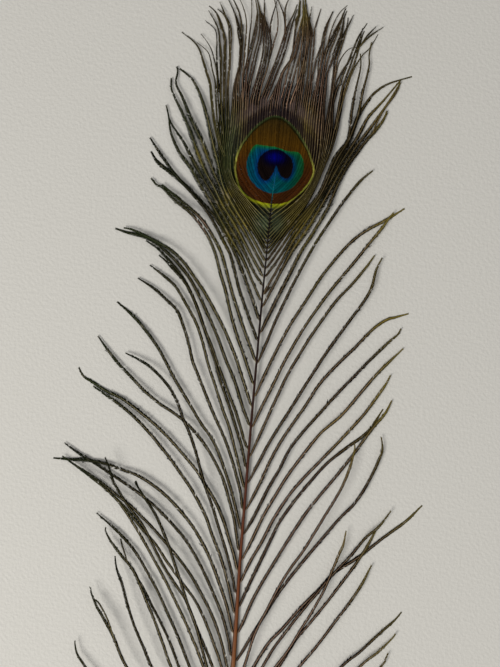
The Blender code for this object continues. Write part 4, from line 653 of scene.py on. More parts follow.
def lay(flat, points, first, arch, tip):
    """Gives a flat course its heights, held to the web where it is inside it."""
    run = run_of(flat)
    hidden = 0
    while signed_depth(np.array([points[hidden + 1]], float), WEB_EDGE)[0] > ROOT_DEPTH:
        hidden += 1
    start = np.array(points[hidden], float)
    skipped = run[np.argmin(np.linalg.norm(flat - start, axis=1))] if hidden else 0.0
    first = root_height(start) if first is None else first
    share = np.clip((run - skipped) / (run[-1] - skipped), 0.0, 1.0)
    free = first + (tip + TIP_HALF - first) * share + 4.0 * arch * share * (1.0 - share)
    hold = np.clip(signed_depth(flat, WEB_EDGE) / HOLD_BAND + 0.5, 0.0, 1.0)
    height = free + (web_height(flat) + RIDE - free) * hold
    return np.column_stack((flat, np.maximum(height, LOWEST)))


def table_courses():
    """Every barb and lock by table name, as (width, whether it is a fork, course)."""
    laid = {}
    passed = []
    for name, table in TABLES.items():
        laid[name] = []
        for width, arch, tip, *points in table:
            first = None
            forked = points[0] == FORK
            if forked:
                beneath = np.vstack(passed)
                foot = beneath[np.argmin(np.hypot(*(beneath[:, :2] - points[1]).T))]
                points = [tuple(foot[:2]), *points[2:]]
                first = foot[2] + FORK_LIFT
            flat = resample(spline(points), COURSE_STEP)
            course = lay(flat, points, first, arch, tip)
            passed.append(course)
            laid[name].append((width, forked, course))
    return laid


# --------------------------------------------------------- making meshes
# The values on a barb's points: the share of its length, how far out from its middle, whether on
# its right side, where painted shade goes, the place along it in millimetres, a random tone, and
# its own random number.
VALUES = ("along", "across", "lee", "comb", "tone", "seed")


class Pile:
    """Many small closed shapes, gathered for one mesh with values on its points."""

    def __init__(self):
        self.points = []
        self.faces = []
        self.smooth = []
        self.values = {name: [] for name in VALUES}
        self.count = 0

    def add(self, points, faces, smooth, **values):
        self.points.append(points)
        self.faces.append(faces + self.count)
        self.smooth.append(np.full(len(faces), smooth))
        for name in VALUES:
            self.values[name].append(np.broadcast_to(values[name], len(points)))
        self.count += len(points)

    def piece(self, name, material, zones=()):
        """The piece made of the whole pile, also with its depth in each of the zones."""
        points = np.vstack(self.points)
        values = {key: np.concatenate(parts) for key, parts in self.values.items()}
        for key, patches in PATCHES.items():
            values[key] = patch_values(points, patches)
        for key in zones:
            values[key] = signed_depth(points, closed_outline(zones[key]))
        add_piece(name, points, np.vstack(self.faces), np.concatenate(self.smooth), values, material)


def patch_values(points, patches):
    """How strong a tint is at each point, by the patch that is strongest there."""
    total = np.zeros(len(points))
    for x, y, reach_x, reach_y, strength in patches:
        far = ((points[:, 0] - x) / reach_x) ** 2 + ((points[:, 1] - y) / reach_y) ** 2
        total = np.maximum(total, strength * np.exp(-far))
    return total


def placed(name, data):
    """A new object in the scene that shows the data."""
    made = bpy.data.objects.new(name, data)
    bpy.context.scene.collection.objects.link(made)
    return made


def add_piece(name, points, faces, smooth, values, material):
    """A piece of the feather: a mesh of triangles with values on its points."""
    mesh = bpy.data.meshes.new(name)
    mesh.vertices.add(len(points))
    mesh.vertices.foreach_set("co", (points * MM).astype(np.float32).ravel())
    mesh.loops.add(len(faces) * 3)
    mesh.loops.foreach_set("vertex_index", faces.astype(np.int32).ravel())
    mesh.polygons.add(len(faces))
    mesh.polygons.foreach_set("loop_start", np.arange(0, len(faces) * 3, 3, dtype=np.int32))
    mesh.polygons.foreach_set("use_smooth", smooth)
    mesh.update(calc_edges=True)
    for key, value in values.items():
        layer = mesh.attributes.new(key, "FLOAT", "POINT")
        layer.data.foreach_set("value", value.astype(np.float32))
    mesh.materials.append(material)
    made = placed(name, mesh)
    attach(made, BODY)
    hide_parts(NODE)


def tube_faces(rings, sides):
    """The triangles of a closed tube of the given number of rings."""
    ring = np.arange(rings - 1)[:, None] * sides
    corner = np.arange(sides)[None, :]
    after = (corner + 1) % sides
    a = (ring + corner).ravel()
    b = (ring + after).ravel()
    c = b + sides
    d = a + sides
    walls = np.vstack((np.column_stack((a, b, c)), np.column_stack((a, c, d))))
    fan = np.array([(0, i + 1, i) for i in range(1, sides - 1)])
    last = (rings - 1) * sides
    end = np.array([(last, last + i, last + i + 1) for i in range(1, sides - 1)])
    return np.vstack((walls, fan, end))[:, ::-1]


# ------------------------------------------------------------- one barb
# How one kind of barb is made, in millimetres and degrees: the spacing, angle and droop of
# its barbules, how broad they are at their base and tip, how thick its ramus is, how far
# apart its gaps and tufts are, how rough its edge is, and how uneven its tone.
Style = namedtuple("Style", "spacing angle droop base tip ramus gap_every tuft_every roughness mottle")
NEVER = 1e9
LOOSE = Style(0.22, 36.0, 18.0, 0.32, 0.26, 0.15, 60.0, 12.0, 0.08, 0.18)
WEB = Style(0.27, 38.0, 5.0, 0.46, 0.42, 0.1, NEVER, NEVER, 0.05, 0.38)
STRAND = Style(0.25, 34.0, 14.0, 0.38, 0.3, 0.12, 14.0, 14.0, 0.08, 0.24)
DOWN = Style(0.5, 42.0, 10.0, 0.16, 0.06, 0.16, 60.0, 5.0, 0.5, 0.3)

# The ramus: the step between its rings, how it tapers, how deep it is below, and how near
# the middle of the barb each of its four edges counts.
RING_STEP = 1.3
RAMUS_TAPER = 0.78
RAMUS_BEND = 1.3
RAMUS_DEPTH = 0.8
RAMUS_ACROSS = (0.12, 0.0, 0.12, 0.3)
# How far ahead and behind of a place a course is looked at for its direction there.
LOOK_AHEAD = 0.4

# The barbules: where the first and the last stand, where they leave the ramus, how far across
# the barb they count, how thick they are, how low they may hang, and between which angles to
# the ramus they stand.
FIRST_BLADE = 0.6
BARE_TIP = 0.1
BLADE_ROOT = 0.35
BLADE_ROOT_TAPER = 0.7
BLADE_ACROSS = (0.1, 0.1, 1.0, 1.0)
BLADE_THICKNESS = 0.05
BLADE_LOWEST = 0.06
LEAST_ANGLE = 12.0
MOST_ANGLE = 80.0
# How much steeper the barbules of the web droop outside the eyespot, by depth in its ring.
RELIEF_DROOP = (0.0, 17.0, 0.5, -1.5)

# How irregular barbules are, each by itself.  A pair is the least and the most of it.
PLACE_JITTER = 0.22
ANGLE_JITTER = 5.0
DROOP_JITTER = 4.0
TONE_JITTER = 0.15
GAP_LENGTH = (0.3, 0.8)
TUFT_LENGTH = (0.4, 1.1)
TUFT_WIDTH = (1.1, 1.45)
TUFT_TURN = (-10.0, 6.0)
TUFT_LIFT = (0.0, 10.0)
# Slow changes along a barb: (how large, over how many millimetres), and for the tone and the
# sway only the second.  The sway starts from nothing at the root.
WIDTH_SWELL = (0.08, 6.0)
ANGLE_SWELL = (4.0, 2.5)
DROOP_SWELL = (8.0, 4.0)
TONE_STEP = 0.9
SWAY_STEP = 11.0
SWAY_FADE = 12.0

# How far from the shaft the barbules stop: beside it below the web, and under it in the web.
SHAFT_MARGIN = (0.12, -0.14, 318.0, 332.0)
# Above this height they reach the middle of the shaft.
SHAFT_END = 362.0


def frames(course, run, at):
    """Points at the given distances, with the directions ahead and to the right there."""
    here = at_run(course, run, at)
    before = at_run(course, run, np.maximum(at - LOOK_AHEAD, 0.0))
    ahead = at_run(course, run, np.minimum(at + LOOK_AHEAD, run[-1])) - before
    ahead /= np.linalg.norm(ahead, axis=1)[:, None]
    right = np.column_stack((ahead[:, 1], -ahead[:, 0], np.zeros(len(at))))
    right /= np.linalg.norm(right, axis=1)[:, None]
    return here, ahead, right


def on_shaft(points):
    """Which points lie within the shaft's width, where barbs have no barbules."""
    y = points[:, 1]
    off = np.abs(points[:, 0] - shaft_value(y, 1))
    return (off < shaft_value(y, 2) * 0.5 + eased(y, *SHAFT_MARGIN)) & (y < SHAFT_END)


class Barb:
    """One barb: a thin ramus along its course, and a row of barbules on each side."""

    def __init__(self, course, style, half_width, rng, relief):
        self.course = course
        self.run = run_of(course)
        self.length = self.run[-1]
        self.style = style
        self.half_width = half_width
        self.rng = rng
        self.relief = relief
        self.seed = rng.uniform()

    def add_ramus(self, pile):
        """The barb's own thin shaft, four-sided and tapering to its tip."""
        count = max(3, round(self.length / RING_STEP) + 1)
        at = np.linspace(0.0, self.length, count)
        here, _, right = frames(self.course, self.run, at)
        share = at / self.length
        radius = (self.style.ramus * (1.0 - RAMUS_TAPER * share ** RAMUS_BEND))[:, None]
        up = np.array((0.0, 0.0, 1.0))
        ring = np.stack((here - right * radius, here + up * radius, here + right * radius,
                         here - up * radius * RAMUS_DEPTH), axis=1)
        pile.add(ring.reshape(-1, 3), tube_faces(count, 4), True, along=np.repeat(share, 4),
                 across=np.tile(RAMUS_ACROSS, count), lee=0.0, comb=np.repeat(at, 4), tone=0.5,
                 seed=self.seed)

    def stretches(self, at, every, lengths):
        """Short stretches of the barb at random places, one at a time."""
        for _ in range(self.rng.poisson(self.length / every)):
            start = self.rng.uniform(0.0, self.length)
            yield (at > start) & (at < start + self.rng.uniform(*lengths))

    def places(self):
        """How far along the barb the barbules of one side stand."""
        spacing = self.style.spacing
        at = np.arange(spacing * FIRST_BLADE, self.length - BARE_TIP, spacing)
        at = at + self.rng.uniform(-PLACE_JITTER, PLACE_JITTER, len(at)) * spacing
        lost = on_shaft(at_run(self.course, self.run, at))
        for gap in self.stretches(at, self.style.gap_every, GAP_LENGTH):
            lost |= gap
        return at[~lost]

    def uneven(self, at, jitter, swelling):
        """What is added to a measure of each barbule: its own error, and a slow change."""
        own = self.rng.uniform(-jitter, jitter, len(at))
        return own + swell(self.rng, at, self.length, *swelling)

    def forms(self, at, here):
        """How wide the row is at each barbule, and the barbule's angle and droop in radians."""
        style = self.style
        rough = 1.0 + style.roughness * self.rng.uniform(-1.0, 1.0, len(at))
        wide = self.half_width(at, at / self.length) * rough
        wide = wide * (1.0 + swell(self.rng, at, self.length, *WIDTH_SWELL))
        angle = style.angle + self.uneven(at, ANGLE_JITTER, ANGLE_SWELL)
        droop = style.droop + self.uneven(at, DROOP_JITTER, DROOP_SWELL)
        if self.relief:
            droop = droop + eased(signed_depth(here, RING), *RELIEF_DROOP)
        for tuft in self.stretches(at, style.tuft_every, TUFT_LENGTH):
            wide[tuft] *= self.rng.uniform(*TUFT_WIDTH)
            angle[tuft] += self.rng.uniform(*TUFT_TURN)
            droop[tuft] -= self.rng.uniform(*TUFT_LIFT)
        return wide, np.radians(np.clip(angle, LEAST_ANGLE, MOST_ANGLE)), np.radians(droop)

    def corners(self, at, side):
        """The four corners of each barbule of one side, a closed twisted blade."""
        here, ahead, right = frames(self.course, self.run, at)
        wide, angle, droop = self.forms(at, here)
        out = right * side
        way = ahead * np.cos(angle)[:, None] + out * np.sin(angle)[:, None]
        way = way * np.cos(droop)[:, None]
        way[:, 2] -= np.sin(droop)
        root = self.style.ramus * BLADE_ROOT * (1.0 - BLADE_ROOT_TAPER * at / self.length)
        inner = here + out * root[:, None]
        end = inner + way * (wide / np.sin(angle))[:, None]
        end[:, 2] = np.maximum(end[:, 2], BLADE_LOWEST)
        half_base = ahead * self.style.base * 0.5
        half_tip = ahead * self.style.tip * 0.5
        lift = np.array((0.0, 0.0, BLADE_THICKNESS))
        return np.stack((inner - half_base, inner + half_base, end - half_tip + lift,
                         end + half_tip - lift), axis=1)

    def add_blades(self, pile, side):
        """The barbules of one side."""
        at = self.places()
        if not len(at):
            return
        corners = self.corners(at, side)
        clump = swell(self.rng, at, self.length, self.style.mottle, TONE_STEP)
        own = self.rng.uniform(-TONE_JITTER, TONE_JITTER, len(at))
        tone = np.clip(0.5 + clump + own, 0.0, 1.0)
        comb = np.column_stack((at, at + self.style.base, at, at + self.style.base)).ravel()
        pile.add(corners.reshape(-1, 3), blade_faces(corners), False,
                 along=np.repeat(at / self.length, 4), across=np.tile(BLADE_ACROSS, len(at)),
                 lee=float(side > 0.0), comb=comb, tone=np.repeat(tone, 4), seed=self.seed)


def blade_faces(corners):
    """The four triangles of each blade, turned so that they all face out."""
    order = np.array(((0, 2, 1), (0, 1, 3), (0, 3, 2), (1, 2, 3)))
    a, b, c, d = corners.transpose(1, 0, 2)
    turned = np.einsum("ij,ij->i", np.cross(b - a, c - a), d - a) < 0.0
    first = np.arange(len(corners))[:, None, None] * 4
    faces = np.where(turned[:, None, None], order[None, :, ::-1], order[None]) + first
    return faces.reshape(-1, 3)


def add_barb(pile, course, style, half_width, rng, relief=False):
    barb = Barb(course, style, half_width, rng, relief)
    barb.add_ramus(pile)
    for side in (-1.0, 1.0):
        barb.add_blades(pile, side)


def tapering(half, tip_share=0.45, taper_from=0.9, root_share=0.62, growth=(0.0, 9.0)):
    """A half width that is nearly even along a barb and falls off at its two ends."""
    def half_width(at, share):
        return half * eased(at, root_share, 1.0, *growth) * eased(share, 1.0, tip_share, taper_from, 1.0)
    return half_width


def shifted(course, amount):
    """The course moved to its right by the given amounts."""
    run = run_of(course)
    _, _, right = frames(course, run, run)
    return course + right * amount[:, None]


def natural(course, rng, sway):
    """The course with a slight irregular sway of its own, none at its root."""
    run = run_of(course)
    fade = np.minimum(run / SWAY_FADE, 1.0)
    return shifted(course, fade * swell(rng, run, run[-1], sway, SWAY_STEP))


# ------------------------------------------------------ the loose barbs
# The half width of a barb or lock of the tables, as a share of its width there.
DOWN_SHARE = 1.1
LOOSE_SHARE = 0.5
LOCK_SHARE = 0.62
DOWN_COUNT = 3
WIDEST_BARB = 2.1
# Barbs that leave the shaft above this height grow wider outward, between these two
# distances from their root.
LOCKS_FROM = 295.0
LOCK_GROWTH = (12.0, 38.0)
# How far a barb sways off its course.
DOWN_SWAY = 0.5
LOOSE_SWAY = 0.12
CLOSE_SWAY = 0.1


def add_side(loose, rows, rng):
    """All barbs of the table on one side: a few downy ones at the foot, then the others."""
    for width, _, course in rows[:DOWN_COUNT]:
        shape = tapering(width * DOWN_SHARE, tip_share=0.5)
        add_barb(loose, natural(course, rng, DOWN_SWAY), DOWN, shape, rng)
    for width, _, course in rows[DOWN_COUNT:]:
        shape = tapering(min(width, WIDEST_BARB) * LOOSE_SHARE)
        if course[0, 1] > LOCKS_FROM:
            shape = tapering(width * LOCK_SHARE, tip_share=0.3, taper_from=0.6, root_share=0.5,
                             growth=LOCK_GROWTH)
        add_barb(loose, natural(course, rng, LOOSE_SWAY), LOOSE, shape, rng)


# ------------------------------------------------------------- the web
def web_courses(guides):
    """The web's barbs of one side as flat courses, from the outermost to the shaft's end."""
    even = []
    for points in guides:
        fine = spline(points)
        fine = fine[fine[:, 1] <= GATHER_START]
        run = run_of(fine)
        even.append(at_run(fine, run, np.linspace(0.0, run[-1], GUIDE_POINTS)))
    courses = []
    for before, after, between in zip(even, even[1:], GAP_COUNTS):
        for index in range(between):
            share = index / between
            courses.append(before * (1.0 - share) + after * share)
    courses.append(even[-1])
    return courses


def gaps_between(courses):
    """The distance from each course to the next one, point by point."""
    stack = np.array(courses)
    step = np.diff(stack, axis=0)
    ahead = np.diff(stack, axis=1)
    ahead = np.concatenate((ahead, ahead[:, -1:]), axis=1)
    ahead /= np.linalg.norm(ahead, axis=2)[:, :, None]
    across = np.abs(step[:, :, 0] * ahead[:-1, :, 1] - step[:, :, 1] * ahead[:-1, :, 0])
    apart = np.minimum(np.linalg.norm(step, axis=2), np.maximum(across, LEAST_GAP))
    return np.concatenate((apart, apart[-1:]), axis=0)


def held_apart(course):
    """The course pushed out of the gaps between the groups of barbs above the eyespot."""
    course = course.copy()
    y = course[:, 1]
    for rows in PARTINGS:
        rows = np.array(rows, float)
        near = (y >= rows[0, 0]) & (y <= rows[-1, 0])
        if not near.any():
            continue
        middle = np.interp(y[near], rows[:, 0], rows[:, 1])
        width = np.interp(y[near], rows[:, 0], rows[:, 2])
        away = course[near, 0] - middle
        side = 1.0 if away[0] > 0.0 else -1.0
        away = np.maximum(away * side, 0.0)
        pushed = width * 0.5 + away * (1.0 - width * 0.5 / PARTING_REACH)
        course[near, 0] = middle + side * np.where(away < PARTING_REACH, pushed, away)
    return course


def partings_left_of(x):
    """How many gaps lie to the left of each place, where the strands are chosen."""
    feet = [np.interp(CHOICE_HEIGHT, *np.array(rows, float).T[:2]) for rows in PARTINGS]
    return np.sum(np.array(feet)[:, None] < np.atleast_1d(x)[None, :], axis=0)


def strand_at(strand, y):
    """The x and the height of a strand of the crest, at the given distances up the feather."""
    return np.interp(y, strand[:, 1], strand[:, 0]), np.interp(y, strand[:, 1], strand[:, 2])


def clump_shifts(members, rng):
    """How far the barbs of a strand lean together in small clumps of neighbours."""
    x = np.array([flat[-1, 0] for flat, _ in members])
    shifts = np.zeros(len(x))
    order = 0
    while order < len(x):
        group = slice(order, order + rng.integers(*CLUMP_SIZES))
        shifts[group] = (x[group].mean() - x[group]) * CLUMP_PULL
        order = group.stop
    return shifts


def kept_share(y, away, lost, heights, reach):
    """What is left where a share is lost above some height and away from the middle."""
    return 1.0 - lost * smooth_step(y, *heights) * smooth_step(away, *reach)


def gathered(flat, strand, width, rank, keep, shift):
    """A web barb that goes on as one barb of a strand, up to a share of its length."""
    length = strand[-1, 1] - GATHER_START
    y = np.arange(GATHER_START, GATHER_START + length * keep, COURSE_STEP)
    rise = y - GATHER_START
    middle, height = strand_at(strand, y)
    gather = np.clip(rise / (GATHER_END - GATHER_START), 0.0, 1.0) ** GATHER_BEND
    spread = rank * width * gather * eased(rise / length, *SPREAD)
    x = middle + (flat[-1, 0] - middle[0]) * eased(rise, *FAN) * (1.0 - gather) + spread
    x += shift * smooth_step(rise, 0.0, CLUMP_REACH)
    low = (web_height(flat) + RIDE) * kept_share(flat[:, 1], np.abs(flat[:, 0]), *LOW_CORNERS)
    meet = eased(rise, low[-1], height * CREST_SINK, 0.0, SINK_REACH)
    return np.vstack((np.column_stack((flat, low))[:-1], np.column_stack((x, y, meet))))


def share_out(strands):
    """The web's barbs with their gaps, by the index of the strand that each one joins."""
    joined = {index: [] for index in range(len(strands))}
    rooted = [index for index, (_, forked, _) in enumerate(strands) if not forked]
    starts = np.array([strand_at(strands[index][2], CHOICE_HEIGHT)[0] for index in rooted])
    widths = np.array([strands[index][0] for index in rooted])
    for guides in (LEFT_GUIDES, RIGHT_GUIDES):
        courses = web_courses(guides)
        gaps = gaps_between(courses)
        gaps[0] *= eased(courses[0][:, 1], *OUTER_BREADTH)
        if guides is RIGHT_GUIDES:
            # The left side has already given the middle barb.
            courses.pop()
        for flat, gap in zip(courses, gaps):
            away = np.abs(starts - flat[-1, 0]) - widths * STRAND_PULL
            away += PARTED * (partings_left_of(starts) != partings_left_of(flat[-1, 0]))
            joined[rooted[int(np.argmin(away))]].append((flat, gap))
    return joined


def add_web(eye, crest, strands, rng):
    """The web's barbs with the eyespot, and on from them the strands of the crest."""
    for index, members in share_out(strands).items():
        width, forked, course = strands[index]
        members.sort(key=lambda member: member[0][-1, 0])
        shifts = clump_shifts(members, rng)
        broad = max(width * STRAND_FILL, STRAND_SPACING * len(members))
        for order, (flat, gap) in enumerate(members):
            rank = (order + 0.5) / len(members) - 0.5
            keep = rng.uniform(*(KEEP_SHORT if order % 2 else KEEP_LONG))
            line = gathered(flat, course, broad, rank, keep, shifts[order])
            split_barb(eye, crest, held_apart(natural(line, rng, CLOSE_SWAY)), gap, rng)
        wanted = 1 if forked else max(1, round(width / OWN_BARB_WIDTH))
        add_strand(crest, course, width, wanted - len(members), rng)


def close_width(lower, gap):
    """The half width of a barb in the web, which fills a share of the gap to the next one."""
    run = run_of(lower)
    gap_run = np.linspace(0.0, 1.0, len(gap))
    narrow = eased(lower[0, 1], *ROOT_HALF_WIDTH)

    def half_width(at, share):
        x, y, _ = at_run(lower, run, at).T
        part = eased(y, *CLOSE_SHARE) * kept_share(y, -x, *OPEN_BLOCK)
        widest = eased(at, narrow, WEB_HALF_WIDTH, *WEB_GROWTH)
        return np.clip(np.interp(share, gap_run, gap) * part, LEAST_GAP, widest)
    return half_width


def open_width(upper, gap):
    """The half width of the same barb in the crest, where it narrows to a strand's."""
    x, y, _ = upper[0]
    first = gap[-1] * 0.5 * kept_share(y, -x, *OPEN_BLOCK)

    def half_width(at, share):
        return eased(at, first, STRAND_HALF_WIDTH * eased(share, *STRAND_TAPER), *STRAND_GROWTH)
    return half_width


def split_barb(eye, crest, course, gap, rng):
    """One barb from the shaft to the crest: close barbules in the web, looser ones beyond."""
    course = course.copy()
    course[:, 2] += rng.uniform(*WEB_JITTER)
    y = course[:, 1]
    change = GATHER_START + rng.uniform(*CHANGE_RANGE)
    lower = resample(course[y <= change + CHANGE_OVERLAP], COURSE_STEP)
    upper = resample(course[y >= change], COURSE_STEP)
    add_barb(eye, lower, WEB, close_width(lower, gap), rng, relief=True)
    add_barb(crest, upper, STRAND, open_width(upper, gap), rng)


def add_strand(crest, course, width, count, rng):
    """A strand's own barbs, side by side along its course."""
    run = run_of(course)
    shape = tapering(STRAND_HALF_WIDTH, tip_share=0.4, taper_from=0.5, root_share=0.7)
    for index in range(count):
        rank = (index + 0.5) / count - 0.5
        keep = 1.0 if index == 0 else rng.uniform(*KEEP_OWN)
        inside = run <= run[-1] * keep
        share = run[inside] / run[inside][-1]
        part = shifted(course[inside], rank * width * OWN_FILL * (1.0 - 0.5 * share))
        part[:, 2] += rng.uniform(-OWN_JITTER, OWN_JITTER)
        add_barb(crest, natural(part, rng, CLOSE_SWAY), STRAND, shape, rng)


# -------------------------------------------------------------- the shaft
def add_shaft(material):
    """The shaft and quill: a smooth tube, flattened below, with a shallow groove on top."""
    length = SHAFT_TIP - QUILL_TIP
    y = QUILL_TIP + np.linspace(0.0, 1.0, round(length / SHAFT_STEP) + 1) * length
    rows = spline(SHAFT_ROWS)
    x, width, height, under = (np.interp(y, rows[:, 0], rows[:, column]) for column in (1, 2, 3, 4))
    under = np.maximum(under, 0.0)
    turn = np.linspace(0.0, 2.0 * math.pi, SHAFT_SIDES, endpoint=False)
    side = np.sin(turn)
    up = -np.cos(turn)
    flat_up = np.where(up < 0.0, np.maximum(up, -UNDERSIDE) / UNDERSIDE, up)
    groove = GROOVE_DEPTH * np.exp(-(side / GROOVE_WIDTH) ** 2) * (up > 0.0)
    cross_x = x[:, None] + side[None, :] * width[:, None] * 0.5
    cross_z = under[:, None] + ((flat_up - groove)[None, :] + 1.0) * 0.5 * height[:, None]
    cross_y = np.broadcast_to(y[:, None], cross_x.shape)
    points = np.stack((cross_x, cross_y, cross_z), axis=2).reshape(-1, 3)
    faces = tube_faces(len(y), SHAFT_SIDES)
    values = {"along": np.repeat((y - QUILL_TIP) / length, SHAFT_SIDES),
              "across": np.tile(np.abs(side), len(y))}
    add_piece("shaft", points, faces, np.full(len(faces), True), values, material)


# -------------------------------------------------------------- materials
def colour(red, green, blue):
    """A colour that is given as it looks on a screen, from 0 to 255."""
    shares = (value / 255.0 for value in (red, green, blue))
    linear = [v / 12.92 if v <= 0.04045 else ((v + 0.055) / 1.055) ** 2.4 for v in shares]
    return (*linear, 1.0)


class Look:
    """One procedural material, with short calls for its nodes."""

    def __init__(self, name):
        self.material = bpy.data.materials.new(name)
        self.material.use_nodes = True
        self.nodes = self.material.node_tree.nodes
        self.links = self.material.node_tree.links
        self.shader = self.nodes["Principled BSDF"]

    def add(self, kind, inputs=(), **settings):
        node = self.nodes.new("ShaderNode" + kind)
        for key, value in settings.items():
            setattr(node, key, value)
        for key, value in dict(inputs).items():
            self.feed(node.inputs[key], value)
        return node

    def feed(self, socket, value):
        if isinstance(value, bpy.types.NodeSocket):
            self.links.new(value, socket)
        else:
            socket.default_value = value

    def value(self, name):
        return self.add("Attribute", attribute_name=name).outputs["Fac"]

    def place(self):
        return self.add("TexCoord").outputs["Object"]

    def ramp(self, fac, *stops):
        """A blend of colours, from stops of (position, red, green, blue)."""
        node = self.add("ValToRGB", {"Fac": fac})
        elements = node.color_ramp.elements
        while len(elements) < len(stops):
            elements.new(1.0)
        for element, (position, *shades) in zip(elements, stops):
            element.position = position
            element.color = colour(*shades)
        return node.outputs["Color"]

    def level(self, value, low, high, start=0.0, end=1.0):
        return self.add("MapRange", {"Value": value, "From Min": low, "From Max": high,
                                     "To Min": start, "To Max": end}).outputs["Result"]

    def maths(self, operation, first, second=0.0):
        return self.add("Math", {0: first, 1: second}, operation=operation).outputs[0]

    def plus(self, first, second):
        return self.maths("ADD", first, second)

    def times(self, first, second):
        return self.maths("MULTIPLY", first, second)

    def mix(self, fac, first, second, blend="MIX"):
        node = self.add("Mix", data_type="RGBA", blend_type=blend)
        self.feed(node.inputs[0], fac)
        self.feed(node.inputs[6], first)
        self.feed(node.inputs[7], second)
        return node.outputs[2]

    def lit(self, base, light):
        """The colour made lighter or darker by a factor."""
        grey = self.add("CombineColor", {0: light, 1: light, 2: light}).outputs[0]
        return self.mix(1.0, base, grey, "MULTIPLY")

    def noise(self, vector, scale, detail=2.0):
        return self.add("TexNoise", {"Vector": vector, "Scale": scale, "Detail": detail}).outputs["Fac"]

    def bump(self, height, strength, distance):
        inputs = {"Height": height, "Strength": strength, "Distance": distance}
        return self.add("Bump", inputs).outputs[0]

    def finish(self, base, **sockets):
        self.links.new(base, self.shader.inputs["Base Color"])
        for key, value in sockets.items():
            self.feed(self.shader.inputs[key.replace("_", " ")], value)
        return self.material


WEB_MIDDLE = colour(134, 122, 72)
# The dark edge of the web's barbs: painted shade between them.
WEB_DARK = colour(9, 6, 2)
OLIVE = colour(122, 112, 64)
# The painted shade at the barbs' edges, softer in the olive patches.
OLIVE_EDGE = colour(46, 43, 22)
GLINT = colour(172, 160, 134)
# The tints of the patches, in the order in which they are laid over each other: the colour,
# and the places across a barb between which its strength goes from one share to another.
TINTS = {
    "pink": (colour(150, 115, 102), (0.28, 0.48, 1.0, 0.0)),
    "mauve": (colour(162, 127, 109), (0.28, 0.48, 1.0, 0.0)),
    "gold": (colour(136, 118, 50), (0.3, 0.7, 1.0, 0.1)),
    "green": (colour(36, 54, 30), (0.3, 1.1, 0.8, 0.3)),
    "slate": (colour(72, 82, 60), (0.0, 1.0, 1.0, 1.0)),
    "dark": (colour(26, 18, 13), (0.0, 1.0, 1.0, 1.0)),
}
# The share of a barb over which it takes on the colour of its tip, and a start beyond its end
# for one without a tip of its own.
TIP_STRETCH = 0.26
NO_TIP = 2.0
# Painted shade: how much nearer to its dark edge a barb's right side counts, so that this side is painted
# darker as if turned from the light.
SIDE_PAINTED_SHADE = 0.14
# Glints are lumps of a noise that is stretched along each barb and differs from barb to barb.
GLINT_SPREAD = 90.0
GLINT_STRETCH = 0.22
# The ridges on a blade: their pitch in millimetres, and their strength and height in metres.
BARBULE_PITCH = 0.08
RIDGE_STRENGTH = 0.35
RIDGE_HEIGHT = 0.00003
# How plain barbs look: (colour of the middle, of the edge, which is painted shade between the
# barbs, and of the tip, the share of a barb at which its tip starts, strength of the glints).
BARB_LOOKS = {
    "left_barbs": (colour(140, 127, 88), colour(3, 3, 0), colour(30, 34, 12), 0.72, 0.45),
    "right_barbs": (colour(148, 123, 90), colour(4, 2, 0), colour(112, 102, 48), 0.8, 0.45),
    "crest_barbs": (WEB_MIDDLE, WEB_DARK, colour(58, 52, 30), 0.7, 0.75),
    "eye_web": (WEB_MIDDLE, WEB_DARK, WEB_MIDDLE, NO_TIP, 0.5),
}


def glints(look, strength):
    """How strongly a pale glint shows along the middle of a barb, less so in dark patches."""
    strip = look.add("CombineXYZ", {0: look.times(look.value("seed"), GLINT_SPREAD),
                                    1: look.times(look.value("comb"), GLINT_STRETCH)}).outputs[0]
    glint = look.level(look.noise(strip, 1.0, 1.0), 0.6, 0.72)
    glint = look.times(glint, look.level(look.value("across"), 0.5, 0.2))
    return look.times(glint, look.level(look.value("dark"), 0.6, 0.1, 0.0, strength))


def barb_colours(look, olive_edge_shade, middle, edge, tip, tip_from, glint_strength):
    """The colour of plain barbs: light along the middle, painted shade at the dark edges, tinted in
    patches.
    """
    # The right side of each barb counts nearer its dark edge: painted shade on one side.
    across = look.plus(look.value("across"), look.times(look.value("lee"), SIDE_PAINTED_SHADE))
    middle = look.mix(look.value("olive"), middle, OLIVE)
    # The dark edge is painted shade between the barbs, a softer one in the olive patches.
    edge = look.mix(look.value("olive"), edge, olive_edge_shade)
    base = look.mix(look.level(across, 0.16, 0.33), middle, edge)
    at_tip = look.level(look.value("along"), tip_from, tip_from + TIP_STRETCH, 0.0, 0.85)
    base = look.mix(at_tip, base, tip)
    for name, (tint, fading) in TINTS.items():
        base = look.mix(look.times(look.value(name), look.level(across, *fading)), base, tint)
    light = look.times(look.level(look.value("tone"), 0.0, 1.0, 0.3, 1.7),
                       look.level(look.value("seed"), 0.0, 1.0, 0.5, 1.4))
    return look.mix(glints(look, glint_strength), look.lit(base, light), GLINT)


def barbule_bump(look):
    """Fine ridges that run out along every blade, one for each real barbule."""
    ridge = look.maths("SINE", look.times(look.value("comb"), 2.0 * math.pi / BARBULE_PITCH))
    return look.bump(ridge, RIDGE_STRENGTH, RIDGE_HEIGHT)


def barb_material(name):
    look = Look(name)
    base = barb_colours(look, OLIVE_EDGE, *BARB_LOOKS[name])
    rough = look.level(look.value("tone"), 0.0, 1.0, 0.6, 0.42)
    return look.finish(base, Roughness=rough, Normal=barbule_bump(look), Specular_IOR_Level=0.04)


# Where the colours of the eyespot change: along the feather, and for the blue across it, in
# metres, and by how deep in the ring a place is, in millimetres.
RING_SPAN = (0.349, 0.397)
RING_FOOT_SPAN = (0.3525, 0.355)
SOFT_SPAN = (0.354, 0.3495)
BRONZE_SPAN = (0.352, 0.395)
BRONZE_TOP_SPAN = (0.376, 0.392)
BLUE_SPAN = (-0.0135, 0.0152)
BLUE_TOP_SPAN = (0.374, 0.379)
RING_INNER = (0.65, 1.05)
RING_DARK = colour(36, 32, 8)
PUPIL_GLOW = colour(0, 44, 104)
BLUE_RIM = colour(18, 104, 46)
